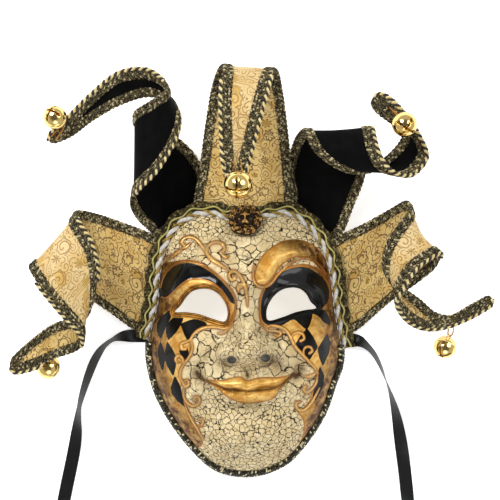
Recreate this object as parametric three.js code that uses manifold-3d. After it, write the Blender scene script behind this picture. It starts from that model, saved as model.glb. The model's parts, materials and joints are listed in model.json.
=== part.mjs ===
// Venetian jester mask: a hollow papier mache face with five stiffened fabric horns and their bells.
// Millimetres, +Z out of the face. The mask lies on its back, so the flat rim of the shell is z = 0.
import * as THREE from "three";
import { mergeVertices } from "three/addons/utils/BufferGeometryUtils.js";
import Module from "manifold-3d";

const wasm = await Module();
wasm.setup();

// Driving dimensions of the face shell.
const WALL = 3.2;
const DOME_HEIGHT = 66;
const DOME_ROUNDNESS = 2.3;
const RIM_LOW = 9;
const RIM_HIGH = 29;
const RIM_RISE_FROM = -5;
const RIM_RISE_LENGTH = 110;
const CHEEK_STEEPNESS = 0.62;
const BROW_STEEPNESS = 0.82;
const FEATURES_REACH = 0.78;
const FEATURES_FADE = 0.17;
const INNER_RISE_SHARE = 0.75;
const STATIONS = 50;
const OUTER_RINGS = [
  0.05, 0.1, 0.155, 0.21, 0.265, 0.325, 0.395, 0.475, 0.56, 0.65, 0.74, 0.83, 0.91, 0.955, 0.983, 1,
];
const INNER_RINGS = [0.1, 0.21, 0.325, 0.475, 0.65, 0.83, 0.955, 1];

// Face outline seen from the front, from the viewer's left temple over the brow to the chin.
const OUTLINE = [
  [-90, -9], [-89.5, 4], [-85.2, 20], [-80.3, 40], [-78.6, 61], [-72, 87.5], [-59, 107],
  [-38.5, 116], [-17, 112.5], [0, 110.2], [17, 113], [35, 116], [52, 106.5], [65, 90],
  [74.5, 65], [78, 40], [82, 16], [86, -4], [85, -20], [78.8, -37], [70.3, -61.5],
  [55.5, -85.8], [33.9, -108.6], [4, -118.7], [-27.3, -113.5], [-51.5, -92.2], [-69, -69],
  [-81.8, -45], [-88, -24],
];

// Rounded swellings of the face: centre, half widths, turn in degrees and rise.
const SWELLS = {
  noseTip: { at: [0.5, 0], half: [13, 10], turn: 0, rise: 12 },
  noseBall: { at: [0.8, -5], half: [18, 9], turn: 0, rise: 9 },
  leftWing: { at: [-19.5, -3.5], half: [9, 8], turn: 0, rise: 11 },
  rightWing: { at: [22.5, -2.5], half: [9, 8], turn: 0, rise: 11 },
  leftSocket: { at: [-40, 33], half: [25, 15], turn: 10, rise: -9 },
  rightSocket: { at: [39, 36], half: [25, 15], turn: -8, rise: -9 },
  leftLid: { at: [-42, 53], half: [27, 7], turn: 6, rise: 5 },
  rightLid: { at: [42, 55], half: [27, 7], turn: -4, rise: 4 },
  leftCheek: { at: [-50, 2], half: [22, 17], turn: 35, rise: 9 },
  rightCheek: { at: [50, 4], half: [22, 17], turn: -35, rise: 9 },
  muzzle: { at: [1, -32], half: [38, 18], turn: 0, rise: 8 },
  chin: { at: [0, -79], half: [24, 16], turn: 0, rise: 10 },
  chinGroove: { at: [1, -54], half: [24, 5.5], turn: 0, rise: -5 },
  leftDimple: { at: [-42, -24], half: [7, 9], turn: -20, rise: -6 },
  rightDimple: { at: [46, -20], half: [7, 9], turn: 20, rise: -6 },
  philtrum: { at: [0.5, -19], half: [4.5, 5.5], turn: 0, rise: -4 },
};

// Ridges and creases along a line: points of [x, y, half width], and their rise.
const RIDGES = {
  noseBridge: { rise: 17, path: [[0, 55, 11], [0, 38, 10], [0, 22, 11], [0.5, 6, 14]] },
  leftBrow: { rise: 7, path: [[-12, 62, 8], [-30, 74, 9], [-52, 72, 9], [-68, 56, 7]] },
  rightBrow: {
    rise: 8,
    path: [[15, 61, 9], [17.5, 71, 10], [27, 81, 9.5], [42, 85, 8.5], [55, 82, 7], [66, 68, 4.5]],
  },
  upperLip: {
    rise: 5,
    path: [
      [-35.5, -25.5, 3], [-22, -30.6, 4.7], [-5, -29.4, 5.5], [0, -32, 5],
      [7, -30, 5.5], [26, -28, 4.7], [40, -21, 3],
    ],
  },
  lowerLip: { rise: 6, path: [[-12, -39, 4.5], [0, -41.7, 5.5], [13, -40.3, 5.5], [24, -37, 3.5]] },
  mouthLine: {
    rise: -4,
    path: [
      [-37, -26.5, 2.5], [-20, -35, 2], [0, -37.5, 2.2], [12, -34, 2], [27, -33.5, 2],
      [41, -21.5, 2.5],
    ],
  },
  leftSmile: { rise: -5, path: [[-27, 1, 4], [-35, -11, 5], [-43, -23, 5]] },
  rightSmile: { rise: -5, path: [[30, 3, 4], [38, -8, 5], [46, -19, 5]] },
};

// Eye openings as corner, crown and lower-lid points.
const EYES = {
  left: [
    [-64, 30.5], [-59, 36], [-54, 43], [-48, 49], [-40, 51.5], [-32, 51], [-25, 47],
    [-20.5, 41.5], [-17.5, 35], [-17, 28], [-19.5, 23.5], [-30, 25.5], [-42, 29], [-54, 30.5],
  ],
  right: [
    [61.5, 34], [56.5, 39.5], [52, 47], [46, 51.5], [38.5, 52.5], [30.5, 50.5], [23.5, 45],
    [18.5, 37], [17, 30.5], [18.5, 24.5], [31.5, 27], [42, 30.5], [52, 32.5],
  ],
};
const NOSTRILS = { left: [-12.9, -8.2], right: [16, -6.8] };
const NOSTRIL_RADIUS = 2.3;
const NOSTRIL_SIDES = 10;
const CUT_TOP = 106;
const EYE_CUT_BOTTOM = 10;
const NOSTRIL_CUT_BOTTOM = 40;

// Trim that runs round the edge of the face.
const CLEARANCE = 0.35;
const ROPE_SIDES = 6;
const ROPE_STATIONS = 40;
const GIMP_STATIONS = 58;
const ROPE_RADIUS = 2.7;
const ROPE_OFFSET = 3.1;
const ROPE_LIFT = 1;
const GIMP_WIDTH = 11.6;
const GIMP_THICKNESS = 1.6;
const GIMP_DROP = 2.1;
const GIMP_SCALLOP = 0.8;
const GIMP_PERIOD = 13;
const JAW_BRAID_THICKNESS = 2.6;
const JAW_BRAID_GAP = 0.4;
const JAW_BRAID_FOOT = 3;
const JAW_BRAID_RINGS = [1, 0.983, 0.955];
const TRIM_ENDS = { left: [-89.5, 4], right: [86, -4] };

// Horns are strips of fabric. Each control line spans the strip from one edge to the other.
const FABRIC_THICKNESS = 1.4;
const BRAID_WIDTH = 8.5;
const BRAID_THICKNESS = 3;
const FABRIC_END_WIDTH = 20.5;
const FABRIC_GAP = 1.3;
const HORN_STATIONS = 18;
const FACE_COLUMN_BOTTOM = -10;
const FACE_COLUMN_TOP = 80;
const HORNS = {
  centre: {
    fabric: "brocade",
    lines: [
      [[-46, 108, 22.5], [40, 108, 22.5]],
      [[-48, 127, 23], [42, 127, 23]],
      [[-43, 156, 28], [40, 156, 28]],
      [[-36, 201, 43], [35, 201, 43]],
      [[-31, 226, 58], [31, 225, 58]],
      [[-25, 240, 76], [27, 238, 76]],
      [[-20, 240, 93], [22, 236, 93]],
      [[-21, 216, 105], [14, 209, 105]],
      [[-20.5, 182, 104], [6.5, 180, 104]],
      [[-18, 154, 98], [-1, 154, 98]],
      [[-13, 146, 95], [-6, 147, 95]],
    ],
  },
  upper_left: {
    fabric: "velvet",
    lines: [
      [[-24, 105, 16], [-70, 83, 15.5]],
      [[-34, 129, 16.5], [-88, 102, 16]],
      [[-43, 166, 18.5], [-98, 112, 20]],
      [[-67, 190, 27], [-103, 122, 30]],
      [[-94, 199, 42], [-101, 130, 44]],
      [[-97, 206, 60], [-95, 138, 60]],
      [[-82, 215, 69], [-76, 157, 69]],
      [[-71, 225, 60], [-60, 189, 64]],
      [[-74, 235, 47], [-64, 212, 43]],
      [[-89, 245, 40], [-86, 222, 34]],
      [[-113, 242, 42], [-111, 215, 37]],
      [[-138, 221, 49], [-135, 200, 46]],
      [[-160, 197, 56], [-155, 184, 54]],
      [[-174, 184, 59], [-171, 177, 59]],
    ],
  },
  upper_right: {
    fabric: "velvet",
    lines: [
      [[30, 116, 16], [72, 84, 15.5]],
      [[39, 133, 16.5], [87, 101, 16]],
      [[36, 160, 18.5], [96, 124, 20.5]],
      [[43, 185, 32], [105, 150, 32]],
      [[49, 191, 50], [106, 182, 50]],
      [[50, 187, 62], [108, 192, 62]],
      [[60, 168, 71], [110, 178, 74]],
      [[79, 156, 66], [115, 163, 77]],
      [[98, 154, 51], [125, 153, 72]],
      [[119, 165, 44], [143, 151, 61]],
      [[133, 179, 48], [156, 166, 61]],
      [[136, 188, 55], [149, 184, 67]],
      [[125, 196, 60], [135, 203, 71]],
      [[112, 205, 63], [124, 215, 70]],
      [[105, 214, 66], [114, 222, 67]],
    ],
  },
  side_left: {
    fabric: "brocade",
    lines: [
      [[-62, 85, 20], [-80, 6, 3.2]],
      [[-84, 99, 20.5], [-101, 11, 3.4]],
      [[-110, 109.5, 21.5], [-124, 27, 6.5]],
      [[-135, 118, 27], [-152, 47, 18]],
      [[-150, 120, 42], [-181, 66, 36]],
      [[-148, 111, 57], [-190, 70, 56]],
      [[-135, 91, 64], [-179, 53, 64]],
      [[-130, 64, 62], [-163, 33, 62]],
      [[-138, 37, 51], [-145, 9, 51]],
      [[-153, 26, 40], [-150, -3, 38]],
      [[-172, 20, 36], [-170, -11, 34]],
      [[-193, 5, 37], [-191, -20, 35]],
      [[-212, -13, 40], [-209, -24, 39]],
    ],
  },
  side_right: {
    fabric: "brocade",
    lines: [
      [[62, 84, 20], [76, 3, 3.2]],
      [[80, 97, 20.5], [99, 11, 3.4]],
      [[103, 108, 21.5], [117, 26, 6.5]],
      [[128, 122, 28], [134, 42, 18]],
      [[141, 129, 42], [148, 53, 32]],
      [[143, 122, 55], [166, 70, 48]],
      [[133, 110, 64], [168, 83, 63]],
      [[119, 88, 67], [146, 70, 71]],
      [[119, 69, 60], [134, 51, 68]],
      [[131, 57, 49], [130, 41, 62]],
      [[153, 42, 40], [141, 24, 49]],
      [[168, 30, 38], [158, 16, 41]],
      [[181, 28, 40], [176, 17, 38]],
      [[197, 37, 43], [196, 25, 41]],
      [[215, 47, 46], [218, 38, 46]],
    ],
  },
};

// Jingle bells: centre, radius, the way the loop points and the ends of the tie on the braid.
const BELL_WALL = 0.9;
const BELL_SLOT = 1.6;
const BELL_SLOT_REACH = 1.5;
const LOOP_RADIUS = 2.1;
const LOOP_WIRE = 0.65;
const LOOP_SUNK = 0.52;
const TIE_RADIUS = 0.5;
const TIE_SIDES = 5;
const TIE_EYE_DROP = 0.6;
const TIE_SPREAD = 1.8;
const TIE_RISE = 2.2;
const BELLS = {
  centre: {
    at: [-7.2, 139.5, 112], radius: 11.5, loopWay: [0.1, 1, 0.1],
    tie: [[-11.5, 160, 101.5], [-5, 160, 101.5]],
  },
  upper_left: {
    at: [-165.4, 199.8, 70], radius: 10.2, loopWay: [-0.5, -1, -0.1],
    tie: [[-170, 184, 61.6], [-166, 181.5, 61.6]],
  },
  upper_right: {
    at: [134, 192, 86], radius: 10.6, loopWay: [-0.35, 1, -0.25],
    tie: [[127, 205, 72.8], [123, 208, 72.2]],
  },
  side_left: {
    at: [-180.2, -20.5, 16.5], radius: 10.8, loopWay: [-0.3, 0.2, 1],
    tie: [[-184, -14, 32.3], [-188.5, -15, 32.3]],
  },
  side_right: {
    at: [180.5, -3, 10.5], radius: 10.2, loopWay: [0.2, 0.6, 1],
    tie: [[181, 20.5, 36.2], [184.5, 22, 37]],
  },
};

// Lion-head medallion on the brow. Rings are shares of its radius, from the rim to the muzzle.
const MEDALLION = {
  at: [-1.7, 111.3, 36.6], radius: 14.5, tilt: -25, thickness: 2.4, spokes: 21,
  rings: [1, 0.84, 0.62, 0.34], locks: 7, lockReach: 0.05, lockRise: 1.1, faceShare: 0.6,
  crownRise: 3.4, browRise: 0.8,
};

// Satin ribbons. Route points are [x, y, z, twist in degrees] and end at the loose roll.
const RIBBON_WIDTH = 12;
const RIBBON_THICKNESS = 0.8;
const RIBBON_CLEARANCE = 0.1;
const RIBBON_STEPS = 28;
const ROLL_OUTER = 35;
const ROLL_INNER = 25.5;
const ROLL_CLEARANCE = 0.2;
const ROLL_SIDES = 16;
const RIBBONS = {
  left: {
    roll: [-137.5, -184],
    route: [
      [-91.2, 6.5, 1.1, 0], [-103, 6.6, 1.2, 4], [-113, 6.4, 4.2, 38], [-124, 3, 6.2, 74],
      [-133, -5, 5.6, 58], [-140.5, -17, 4.9, 46], [-147, -34, 5.1, 50], [-152, -50, 5.6, 60],
      [-154.3, -61, 5.7, 64], [-156, -78, 3.8, 34], [-159, -98, 1.2, 8], [-164.8, -126.2, 0.6, 0],
      [-169, -147, 1.2, 8], [-171, -158, 4.6, 46], [-172, -170, 6.3, 90],
    ],
  },
  right: {
    roll: [114.5, -184],
    route: [
      [87.2, 2.4, 1.1, 0], [98, 2.6, 1.3, -5], [107, -0.5, 5.2, -52], [115.5, -8.5, 5.8, -66],
      [121.8, -20, 6, -72], [127.4, -34.6, 6.3, -86], [132.4, -49, 6.1, -104], [136.8, -66, 5.1, -128],
      [140.7, -87.5, 2.6, -156], [144.4, -112.4, 0.7, -180], [147.8, -144.6, 1.2, -188],
      [148.8, -158, 4.6, -226], [149, -170, 6.3, -270],
    ],
  },
};

const COLOURS = {
  face_shell: { colour: 0xd8c79b, roughness: 0.55, metalness: 0 },
  forehead_medallion: { colour: 0x5a4322, roughness: 0.4, metalness: 0.8 },
  rope_cord: { colour: 0xd9cfb0, roughness: 0.6, metalness: 0 },
  gimp_braid: { colour: 0x7f7a3c, roughness: 0.6, metalness: 0.2 },
  jaw_braid: { colour: 0x2e2a22, roughness: 0.7, metalness: 0.1 },
  braid: { colour: 0x6f675a, roughness: 0.6, metalness: 0.4 },
  brocade: { colour: 0xd9bf7a, roughness: 0.5, metalness: 0.3 },
  velvet: { colour: 0x0b0b0c, roughness: 0.9, metalness: 0 },
  bell: { colour: 0xd1a13a, roughness: 0.2, metalness: 1 },
  tie: { colour: 0xb99a4a, roughness: 0.4, metalness: 0.7 },
  ribbon: { colour: 0x0a0a0a, roughness: 0.45, metalness: 0 },
};

// Solids and meshes.
function geometryFrom(vertices, triangles) {
  const geometry = new THREE.BufferGeometry();
  geometry.setAttribute("position", new THREE.Float32BufferAttribute(vertices.flat(), 3));
  geometry.setIndex(triangles.flat());
  return geometry;
}

function solidOf(geometry) {
  const bare = geometry.clone();
  bare.deleteAttribute("normal");
  bare.deleteAttribute("uv");
  const merged = mergeVertices(bare, 1e-4);
  return new wasm.Manifold(
    new wasm.Mesh({
      numProp: 3,
      vertProperties: new Float32Array(merged.attributes.position.array),
      triVerts: new Uint32Array(merged.index.array),
    }),
  );
}

function geometryOf(solid) {
  const mesh = solid.getMesh();
  const geometry = new THREE.BufferGeometry();
  geometry.setAttribute("position", new THREE.BufferAttribute(mesh.vertProperties, 3));
  geometry.setIndex(new THREE.BufferAttribute(mesh.triVerts, 1));
  return geometry;
}

// A solid through rings of equal length, with flat ends. Rings run anticlockwise seen from the last.
// The two halves of a ring are split along matching diagonals, so a twisted strip keeps its thickness.
function loft(rings) {
  const count = rings[0].length;
  const vertices = rings.flat();
  const triangles = [];
  for (let i = 0; i + 1 < rings.length; i++) {
    for (let j = 0; j < count; j++) {
      const a = i * count + j;
      const b = i * count + ((j + 1) % count);
      if (2 * j < count) {
        triangles.push([a, b, b + count], [a, b + count, a + count]);
      } else {
        triangles.push([a, b, a + count], [b, b + count, a + count]);
      }
    }
  }
  const last = (rings.length - 1) * count;
  const capFace = (a, b, c) => triangles.push([a, c, b], [last + a, last + b, last + c]);
  for (let j = 0, k = count - 1; j + 1 < k; j++, k--) {
    capFace(j, j + 1, k);
    if (j + 2 < k) {
      capFace(j + 1, k - 1, k);
    }
  }
  const solid = solidOf(geometryFrom(vertices, triangles));
  if (solid.volume() > 0) {
    return solid;
  }
  return solidOf(geometryFrom(vertices, triangles.map(([a, b, c]) => [a, c, b])));
}

function mesh(name, geometry, finish) {
  const { colour, roughness, metalness } = COLOURS[finish];
  const material = new THREE.MeshStandardMaterial({ color: colour, roughness, metalness });
  const part = new THREE.Mesh(geometry, material);
  part.name = name;
  return part;
}

const smoothstep = (t) => THREE.MathUtils.smoothstep(t, 0, 1);
const toVector = ([x, y, z = 0]) => new THREE.Vector3(x, y, z);

// Face outline and the rim that rises from the jaw to the brow.
const outlineCurve = new THREE.CatmullRomCurve3(OUTLINE.map(toVector), true, "centripetal");

function rimHeight(y) {
  return RIM_LOW + (RIM_HIGH - RIM_LOW) * smoothstep((y - RIM_RISE_FROM) / RIM_RISE_LENGTH);
}

// Stations round the outline: point and outward normal. The outline runs clockwise.
function outlineStation(fraction) {
  const point = outlineCurve.getPointAt(fraction);
  const tangent = outlineCurve.getTangentAt(fraction);
  return { point, outward: new THREE.Vector3(-tangent.y, tangent.x, 0) };
}

function fractionNearest([x, y]) {
  const target = new THREE.Vector3(x, y, 0);
  const steps = 400;
  let best = 0;
  let least = Infinity;
  for (let i = 0; i < steps; i++) {
    const distance = outlineCurve.getPointAt(i / steps).distanceTo(target);
    if (distance < least) {
      least = distance;
      best = i / steps;
    }
  }
  return best;
}

// Height of the face above its plain dome.
function swellAt(x, y, { at, half, turn, rise }) {
  const angle = THREE.MathUtils.degToRad(turn);
  const dx = x - at[0];
  const dy = y - at[1];
  const along = (dx * Math.cos(angle) + dy * Math.sin(angle)) / half[0];
  const across = (dy * Math.cos(angle) - dx * Math.sin(angle)) / half[1];
  return rise * Math.exp(-(along * along + across * across));
}

function ridgeAt(x, y, { path, rise }) {
  let strongest = 0;
  for (let i = 0; i + 1 < path.length; i++) {
    const [ax, ay, aw] = path[i];
    const [bx, by, bw] = path[i + 1];
    const span = (bx - ax) ** 2 + (by - ay) ** 2;
    const t = THREE.MathUtils.clamp(((x - ax) * (bx - ax) + (y - ay) * (by - ay)) / span, 0, 1);
    const distance = Math.hypot(x - ax - t * (bx - ax), y - ay - t * (by - ay));
    const width = aw + t * (bw - aw);
    strongest = Math.max(strongest, Math.exp(-((distance / width) ** 2)));
  }
  return rise * strongest;
}

function featuresAt(x, y) {
  let height = 0;
  for (const swell of Object.values(SWELLS)) {
    height += swellAt(x, y, swell);
  }
  for (const ridge of Object.values(RIDGES)) {
    height += ridgeAt(x, y, ridge);
  }
  return height;
}

// The dome falls more steeply to the cheeks and chin than to the brow.
function domeHeight(rho, direction, low, high) {
  const brow = smoothstep(direction.y / direction.length());
  const steepness = CHEEK_STEEPNESS + (BROW_STEEPNESS - CHEEK_STEEPNESS) * brow;
  return low + (high - low) * (1 - rho ** DOME_ROUNDNESS) ** steepness;
}

// One wall of the shell as rings from the rim to the middle of the face.
function wallSurface(rings, inset, depth, featureShare) {
  const vertices = [[0, 0, DOME_HEIGHT - depth + featureShare(featuresAt(0, 0))]];
  for (const rho of rings) {
    for (let i = 0; i < STATIONS; i++) {
      const { point, outward } = outlineStation(i / STATIONS);
      const edge = point.clone().addScaledVector(outward, -inset);
      const [x, y] = [edge.x * rho, edge.y * rho];
      const fade = 1 - smoothstep((rho - FEATURES_REACH) / FEATURES_FADE);
      const dome = domeHeight(rho, point, rimHeight(point.y) - depth / 2, DOME_HEIGHT - depth);
      vertices.push([x, y, dome + fade * featureShare(featuresAt(x, y))]);
    }
  }
  for (let i = 0; i < STATIONS; i++) {
    const { point, outward } = outlineStation(i / STATIONS);
    vertices.push([point.x - outward.x * inset, point.y - outward.y * inset, 0]);
  }
  return vertices;
}

// Triangles of a wall whose first vertex is its pole.
function wallTriangles(ringCount) {
  const triangles = [];
  for (let i = 0; i < STATIONS; i++) {
    triangles.push([0, 1 + ((i + 1) % STATIONS), 1 + i]);
  }
  for (let ring = 0; ring + 1 < ringCount; ring++) {
    for (let i = 0; i < STATIONS; i++) {
      const a = 1 + ring * STATIONS + i;
      const b = 1 + ring * STATIONS + ((i + 1) % STATIONS);
      triangles.push([a, b, b + STATIONS], [a, b + STATIONS, a + STATIONS]);
    }
  }
  return triangles;
}

function prism(points, low, high) {
  const shape = new THREE.Shape(points.map(([x, y]) => new THREE.Vector2(x, y)));
  const geometry = new THREE.ExtrudeGeometry(shape, { depth: high - low, bevelEnabled: false });
  geometry.translate(0, 0, low);
  return solidOf(geometry);
}

function offsetOutline(offset) {
  const points = [];
  for (let i = 0; i < STATIONS * 2; i++) {
    const { point, outward } = outlineStation(i / (STATIONS * 2));
    points.push([point.x + outward.x * offset, point.y + outward.y * offset]);
  }
  return points;
}

function faceShell() {
  const softened = (h) => Math.min(h, 0) + INNER_RISE_SHARE * Math.max(h, 0);
  const outer = wallSurface(OUTER_RINGS, 0, 0, (h) => h);
  const inner = wallSurface(INNER_RINGS, WALL, WALL, softened);
  const outerTriangles = wallTriangles(OUTER_RINGS.length + 1);
  const start = outer.length;
  const turned = ([a, b, c]) => [a + start, c + start, b + start];
  const innerTriangles = wallTriangles(INNER_RINGS.length + 1).map(turned);
  const outerRim = outer.length - STATIONS;
  const innerRim = start + inner.length - STATIONS;
  const rimTriangles = [];
  for (let i = 0; i < STATIONS; i++) {
    const next = (i + 1) % STATIONS;
    rimTriangles.push([outerRim + i, outerRim + next, innerRim + next]);
    rimTriangles.push([outerRim + i, innerRim + next, innerRim + i]);
  }
  let shell = solidOf(
    geometryFrom([...outer, ...inner], [...outerTriangles, ...innerTriangles, ...rimTriangles]),
  );
  for (const eye of Object.values(EYES)) {
    shell = shell.subtract(prism(eye, EYE_CUT_BOTTOM, CUT_TOP));
  }
  for (const [x, y] of Object.values(NOSTRILS)) {
    const depth = CUT_TOP - NOSTRIL_CUT_BOTTOM;
    const hole = new THREE.CylinderGeometry(NOSTRIL_RADIUS, NOSTRIL_RADIUS, depth, NOSTRIL_SIDES);
    hole.rotateX(Math.PI / 2);
    hole.translate(x, y, NOSTRIL_CUT_BOTTOM + depth / 2);
    shell = shell.subtract(solidOf(hole));
  }
  return shell;
}

// Trim along the edge of the face, from one end of the horns to the other or round the jaw.
function trimFractions(from, to, count) {
  const start = fractionNearest(from);
  let end = fractionNearest(to);
  if (end < start) {
    end += 1;
  }
  const fractions = [];
  for (let i = 0; i <= count; i++) {
    fractions.push((start + ((end - start) * i) / count) % 1);
  }
  return fractions;
}

function ropeCord() {
  const rings = trimFractions(TRIM_ENDS.left, TRIM_ENDS.right, ROPE_STATIONS).map((fraction) => {
    const { point, outward } = outlineStation(fraction);
    const ring = [];
    for (let i = 0; i < ROPE_SIDES; i++) {
      const angle = (2 * Math.PI * i) / ROPE_SIDES;
      const out = ROPE_OFFSET + ROPE_RADIUS * Math.cos(angle);
      const z = rimHeight(point.y) + ROPE_LIFT + ROPE_RADIUS * Math.sin(angle);
      ring.push([point.x + outward.x * out, point.y + outward.y * out, z]);
    }
    return ring;
  });
  return loft(rings);
}

function gimpBraid() {
  const arc = outlineCurve.getLength();
  const rings = trimFractions(TRIM_ENDS.left, TRIM_ENDS.right, GIMP_STATIONS).map((fraction) => {
    const { point, outward } = outlineStation(fraction);
    const top = rimHeight(point.y) - GIMP_DROP;
    const scallop = GIMP_SCALLOP * Math.sin((2 * Math.PI * fraction * arc) / GIMP_PERIOD);
    const near = CLEARANCE * 2;
    const far = near + GIMP_WIDTH + scallop;
    return [
      [near, top], [far, top], [far, top - GIMP_THICKNESS], [near, top - GIMP_THICKNESS],
    ].map(([out, z]) => [point.x + outward.x * out, point.y + outward.y * out, z]);
  });
  return loft(rings);
}

// The jaw braid is folded over the edge: up the outside of the rim and onto the face.
function jawBraid() {
  const first = Math.ceil(fractionNearest(TRIM_ENDS.right) * STATIONS);
  const rings = [];
  for (let i = first; i <= STATIONS; i++) {
    const { point, outward } = outlineStation((i % STATIONS) / STATIONS);
    const rim = rimHeight(point.y);
    const depth = point.dot(outward);
    const onFace = (rho) => [(rho - 1) * depth, domeHeight(rho, point, rim, DOME_HEIGHT)];
    const profile = [[0, JAW_BRAID_FOOT], ...JAW_BRAID_RINGS.map(onFace)];
    const raised = (lift) =>
      profile.map(([out, z], k) => {
        const before = profile[Math.max(k - 1, 0)];
        const after = profile[Math.min(k + 1, profile.length - 1)];
        const run = Math.hypot(after[0] - before[0], after[1] - before[1]);
        const [side, up] = [(after[1] - before[1]) / run, (before[0] - after[0]) / run];
        const place = point.clone().multiplyScalar(1 + out / depth);
        place.addScaledVector(outward, side * lift);
        return [place.x, place.y, z + up * lift];
      });
    const under = raised(JAW_BRAID_GAP);
    const over = raised(JAW_BRAID_GAP + JAW_BRAID_THICKNESS);
    rings.push([...under, ...over.reverse()]);
  }
  return loft(rings);
}

// The two edges of a horn as smooth curves through the ends of its control lines.
function hornEdges(lines) {
  return [0, 1].map((side) => new THREE.CatmullRomCurve3(lines.map((line) => toVector(line[side]))));
}

// One cross-section of a strip that lies between two distances from the first edge.
function hornRow([first, second], u, from, to, thickness) {
  const [a, b] = [first.getPoint(u), second.getPoint(u)];
  const width = a.distanceTo(b);
  const slopes = [first, second].map((edge) => edge.getTangent(u));
  const place = (distance, lift) => {
    const share = distance / width;
    const across = b.clone().sub(a);
    const along = slopes[0].clone().lerp(slopes[1], share);
    const normal = along.cross(across).normalize();
    return a.clone().lerp(b, share).addScaledVector(normal, lift).toArray();
  };
  const [s0, s1] = [from(width), to(width)];
  const half = thickness / 2;
  return [place(s0, half), place(s1, half), place(s1, -half), place(s0, -half)];
}

function hornStrip(edges, last, from, to, thickness) {
  const rows = [];
  for (let i = 0; i <= last; i++) {
    rows.push(hornRow(edges, i / HORN_STATIONS, from, to, thickness));
  }
  return loft(rows);
}

// The fabric stops at the last station before the two braids of the narrowing tail meet.
function lastFabricStation([first, second]) {
  const widthAt = (i) => {
    const u = i / HORN_STATIONS;
    return first.getPoint(u).distanceTo(second.getPoint(u));
  };
  let station = HORN_STATIONS;
  while (widthAt(station) < FABRIC_END_WIDTH) {
    station -= 1;
  }
  return station;
}

function horn(name, { lines, fabric }, faceColumn) {
  const edges = hornEdges(lines);
  const inset = BRAID_WIDTH + FABRIC_GAP;
  const last = lastFabricStation(edges);
  const start = () => 0;
  const end = (width) => width;
  const panelStart = () => inset;
  const panelEnd = (width) => width - inset;
  const firstEnd = (width) => Math.min(BRAID_WIDTH, width);
  const secondStart = (width) => width - firstEnd(width);
  const panel = hornStrip(edges, last, panelStart, panelEnd, FABRIC_THICKNESS);
  const firstBraid = hornStrip(edges, HORN_STATIONS, start, firstEnd, BRAID_THICKNESS);
  const secondBraid = hornStrip(edges, HORN_STATIONS, secondStart, end, BRAID_THICKNESS);
  const braids = firstBraid.add(secondBraid).subtract(faceColumn);
  return [
    mesh(`horn_${name}`, geometryOf(panel.subtract(faceColumn)), fabric),
    mesh(`horn_${name}_braid`, geometryOf(braids), "braid"),
  ];
}

// Axes of a bell: the way to its loop, and the way that the tie passes through the loop.
function bellAxes({ loopWay, tie }) {
  const way = toVector(loopWay).normalize();
  const side = toVector(tie[1]).sub(toVector(tie[0])).cross(way).normalize();
  return { way, side, through: way.clone().cross(side) };
}

// A hollow ball with crossed slots below and a wire loop on top.
function bell({ at, radius, loopWay, tie }) {
  const outer = solidOf(new THREE.OctahedronGeometry(radius, 2));
  const inner = solidOf(new THREE.OctahedronGeometry(radius - BELL_WALL, 1));
  const slotBox = new THREE.BoxGeometry(radius * BELL_SLOT_REACH, BELL_SLOT, radius);
  slotBox.translate(0, 0, -radius);
  const slot = solidOf(slotBox);
  const slots = slot.add(solidOf(slotBox.clone().rotateZ(Math.PI / 2)));
  const ring = new THREE.TorusGeometry(LOOP_RADIUS, LOOP_WIRE, 4, 8);
  ring.rotateX(Math.PI / 2);
  ring.translate(0, 0, radius + LOOP_RADIUS - LOOP_SUNK);
  const loop = solidOf(ring);
  const shell = outer.subtract(inner).subtract(slots).add(loop.subtract(inner));
  const geometry = geometryOf(shell);
  const { way, side, through } = bellAxes({ loopWay, tie });
  geometry.applyMatrix4(new THREE.Matrix4().makeBasis(side, through, way));
  geometry.translate(...at);
  return geometry;
}

// A tie runs from the braid through the loop of its bell and back.
function bellTie({ at, radius, loopWay, tie }) {
  const { way, side, through } = bellAxes({ loopWay, tie });
  const eye = toVector(at).addScaledVector(way, radius + LOOP_RADIUS - TIE_EYE_DROP);
  const shoulder = (sign) =>
    eye.clone().addScaledVector(through, sign * TIE_SPREAD).addScaledVector(way, TIE_RISE);
  const points = [toVector(tie[0]), shoulder(-1), eye, shoulder(1), toVector(tie[1])];
  const rings = points.map((point, k) => {
    const before = points[Math.max(k - 1, 0)];
    const after = points[Math.min(k + 1, points.length - 1)];
    const along = after.clone().sub(before).normalize();
    const up = along.clone().cross(side).normalize();
    const across = up.clone().cross(along);
    return Array.from({ length: TIE_SIDES }, (_, i) => {
      const angle = (2 * Math.PI * i) / TIE_SIDES;
      const offset = across.clone().multiplyScalar(Math.cos(angle)).addScaledVector(up, Math.sin(angle));
      return point.clone().addScaledVector(offset, TIE_RADIUS).toArray();
    });
  });
  return geometryOf(loft(rings));
}

// Lion's head: a disc with a curled mane round a raised muzzle, brow and cheeks.
function medallionGeometry() {
  const { at, radius, tilt, thickness, spokes, locks, faceShare } = MEDALLION;
  const relief = (share, angle) => {
    const crown = MEDALLION.crownRise * Math.cos((Math.PI / 2) * share);
    if (share < faceShare) {
      return thickness + crown + MEDALLION.browRise * Math.sin(angle);
    }
    return thickness + crown + MEDALLION.lockRise * Math.cos(locks * angle) * Math.sin(Math.PI * share);
  };
  const ringAt = (share, heightAt) => {
    const ring = [];
    for (let i = 0; i < spokes; i++) {
      const angle = (2 * Math.PI * i) / spokes;
      const reach = radius * share * (1 + MEDALLION.lockReach * Math.cos(locks * angle) * share);
      ring.push([reach * Math.cos(angle), reach * Math.sin(angle), heightAt(share, angle)]);
    }
    return ring;
  };
  const rings = [ringAt(1, () => 0), ...MEDALLION.rings.map((share) => ringAt(share, relief))];
  const geometry = geometryOf(loft(rings));
  geometry.rotateX(THREE.MathUtils.degToRad(tilt));
  geometry.translate(...at);
  return geometry;
}

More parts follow.
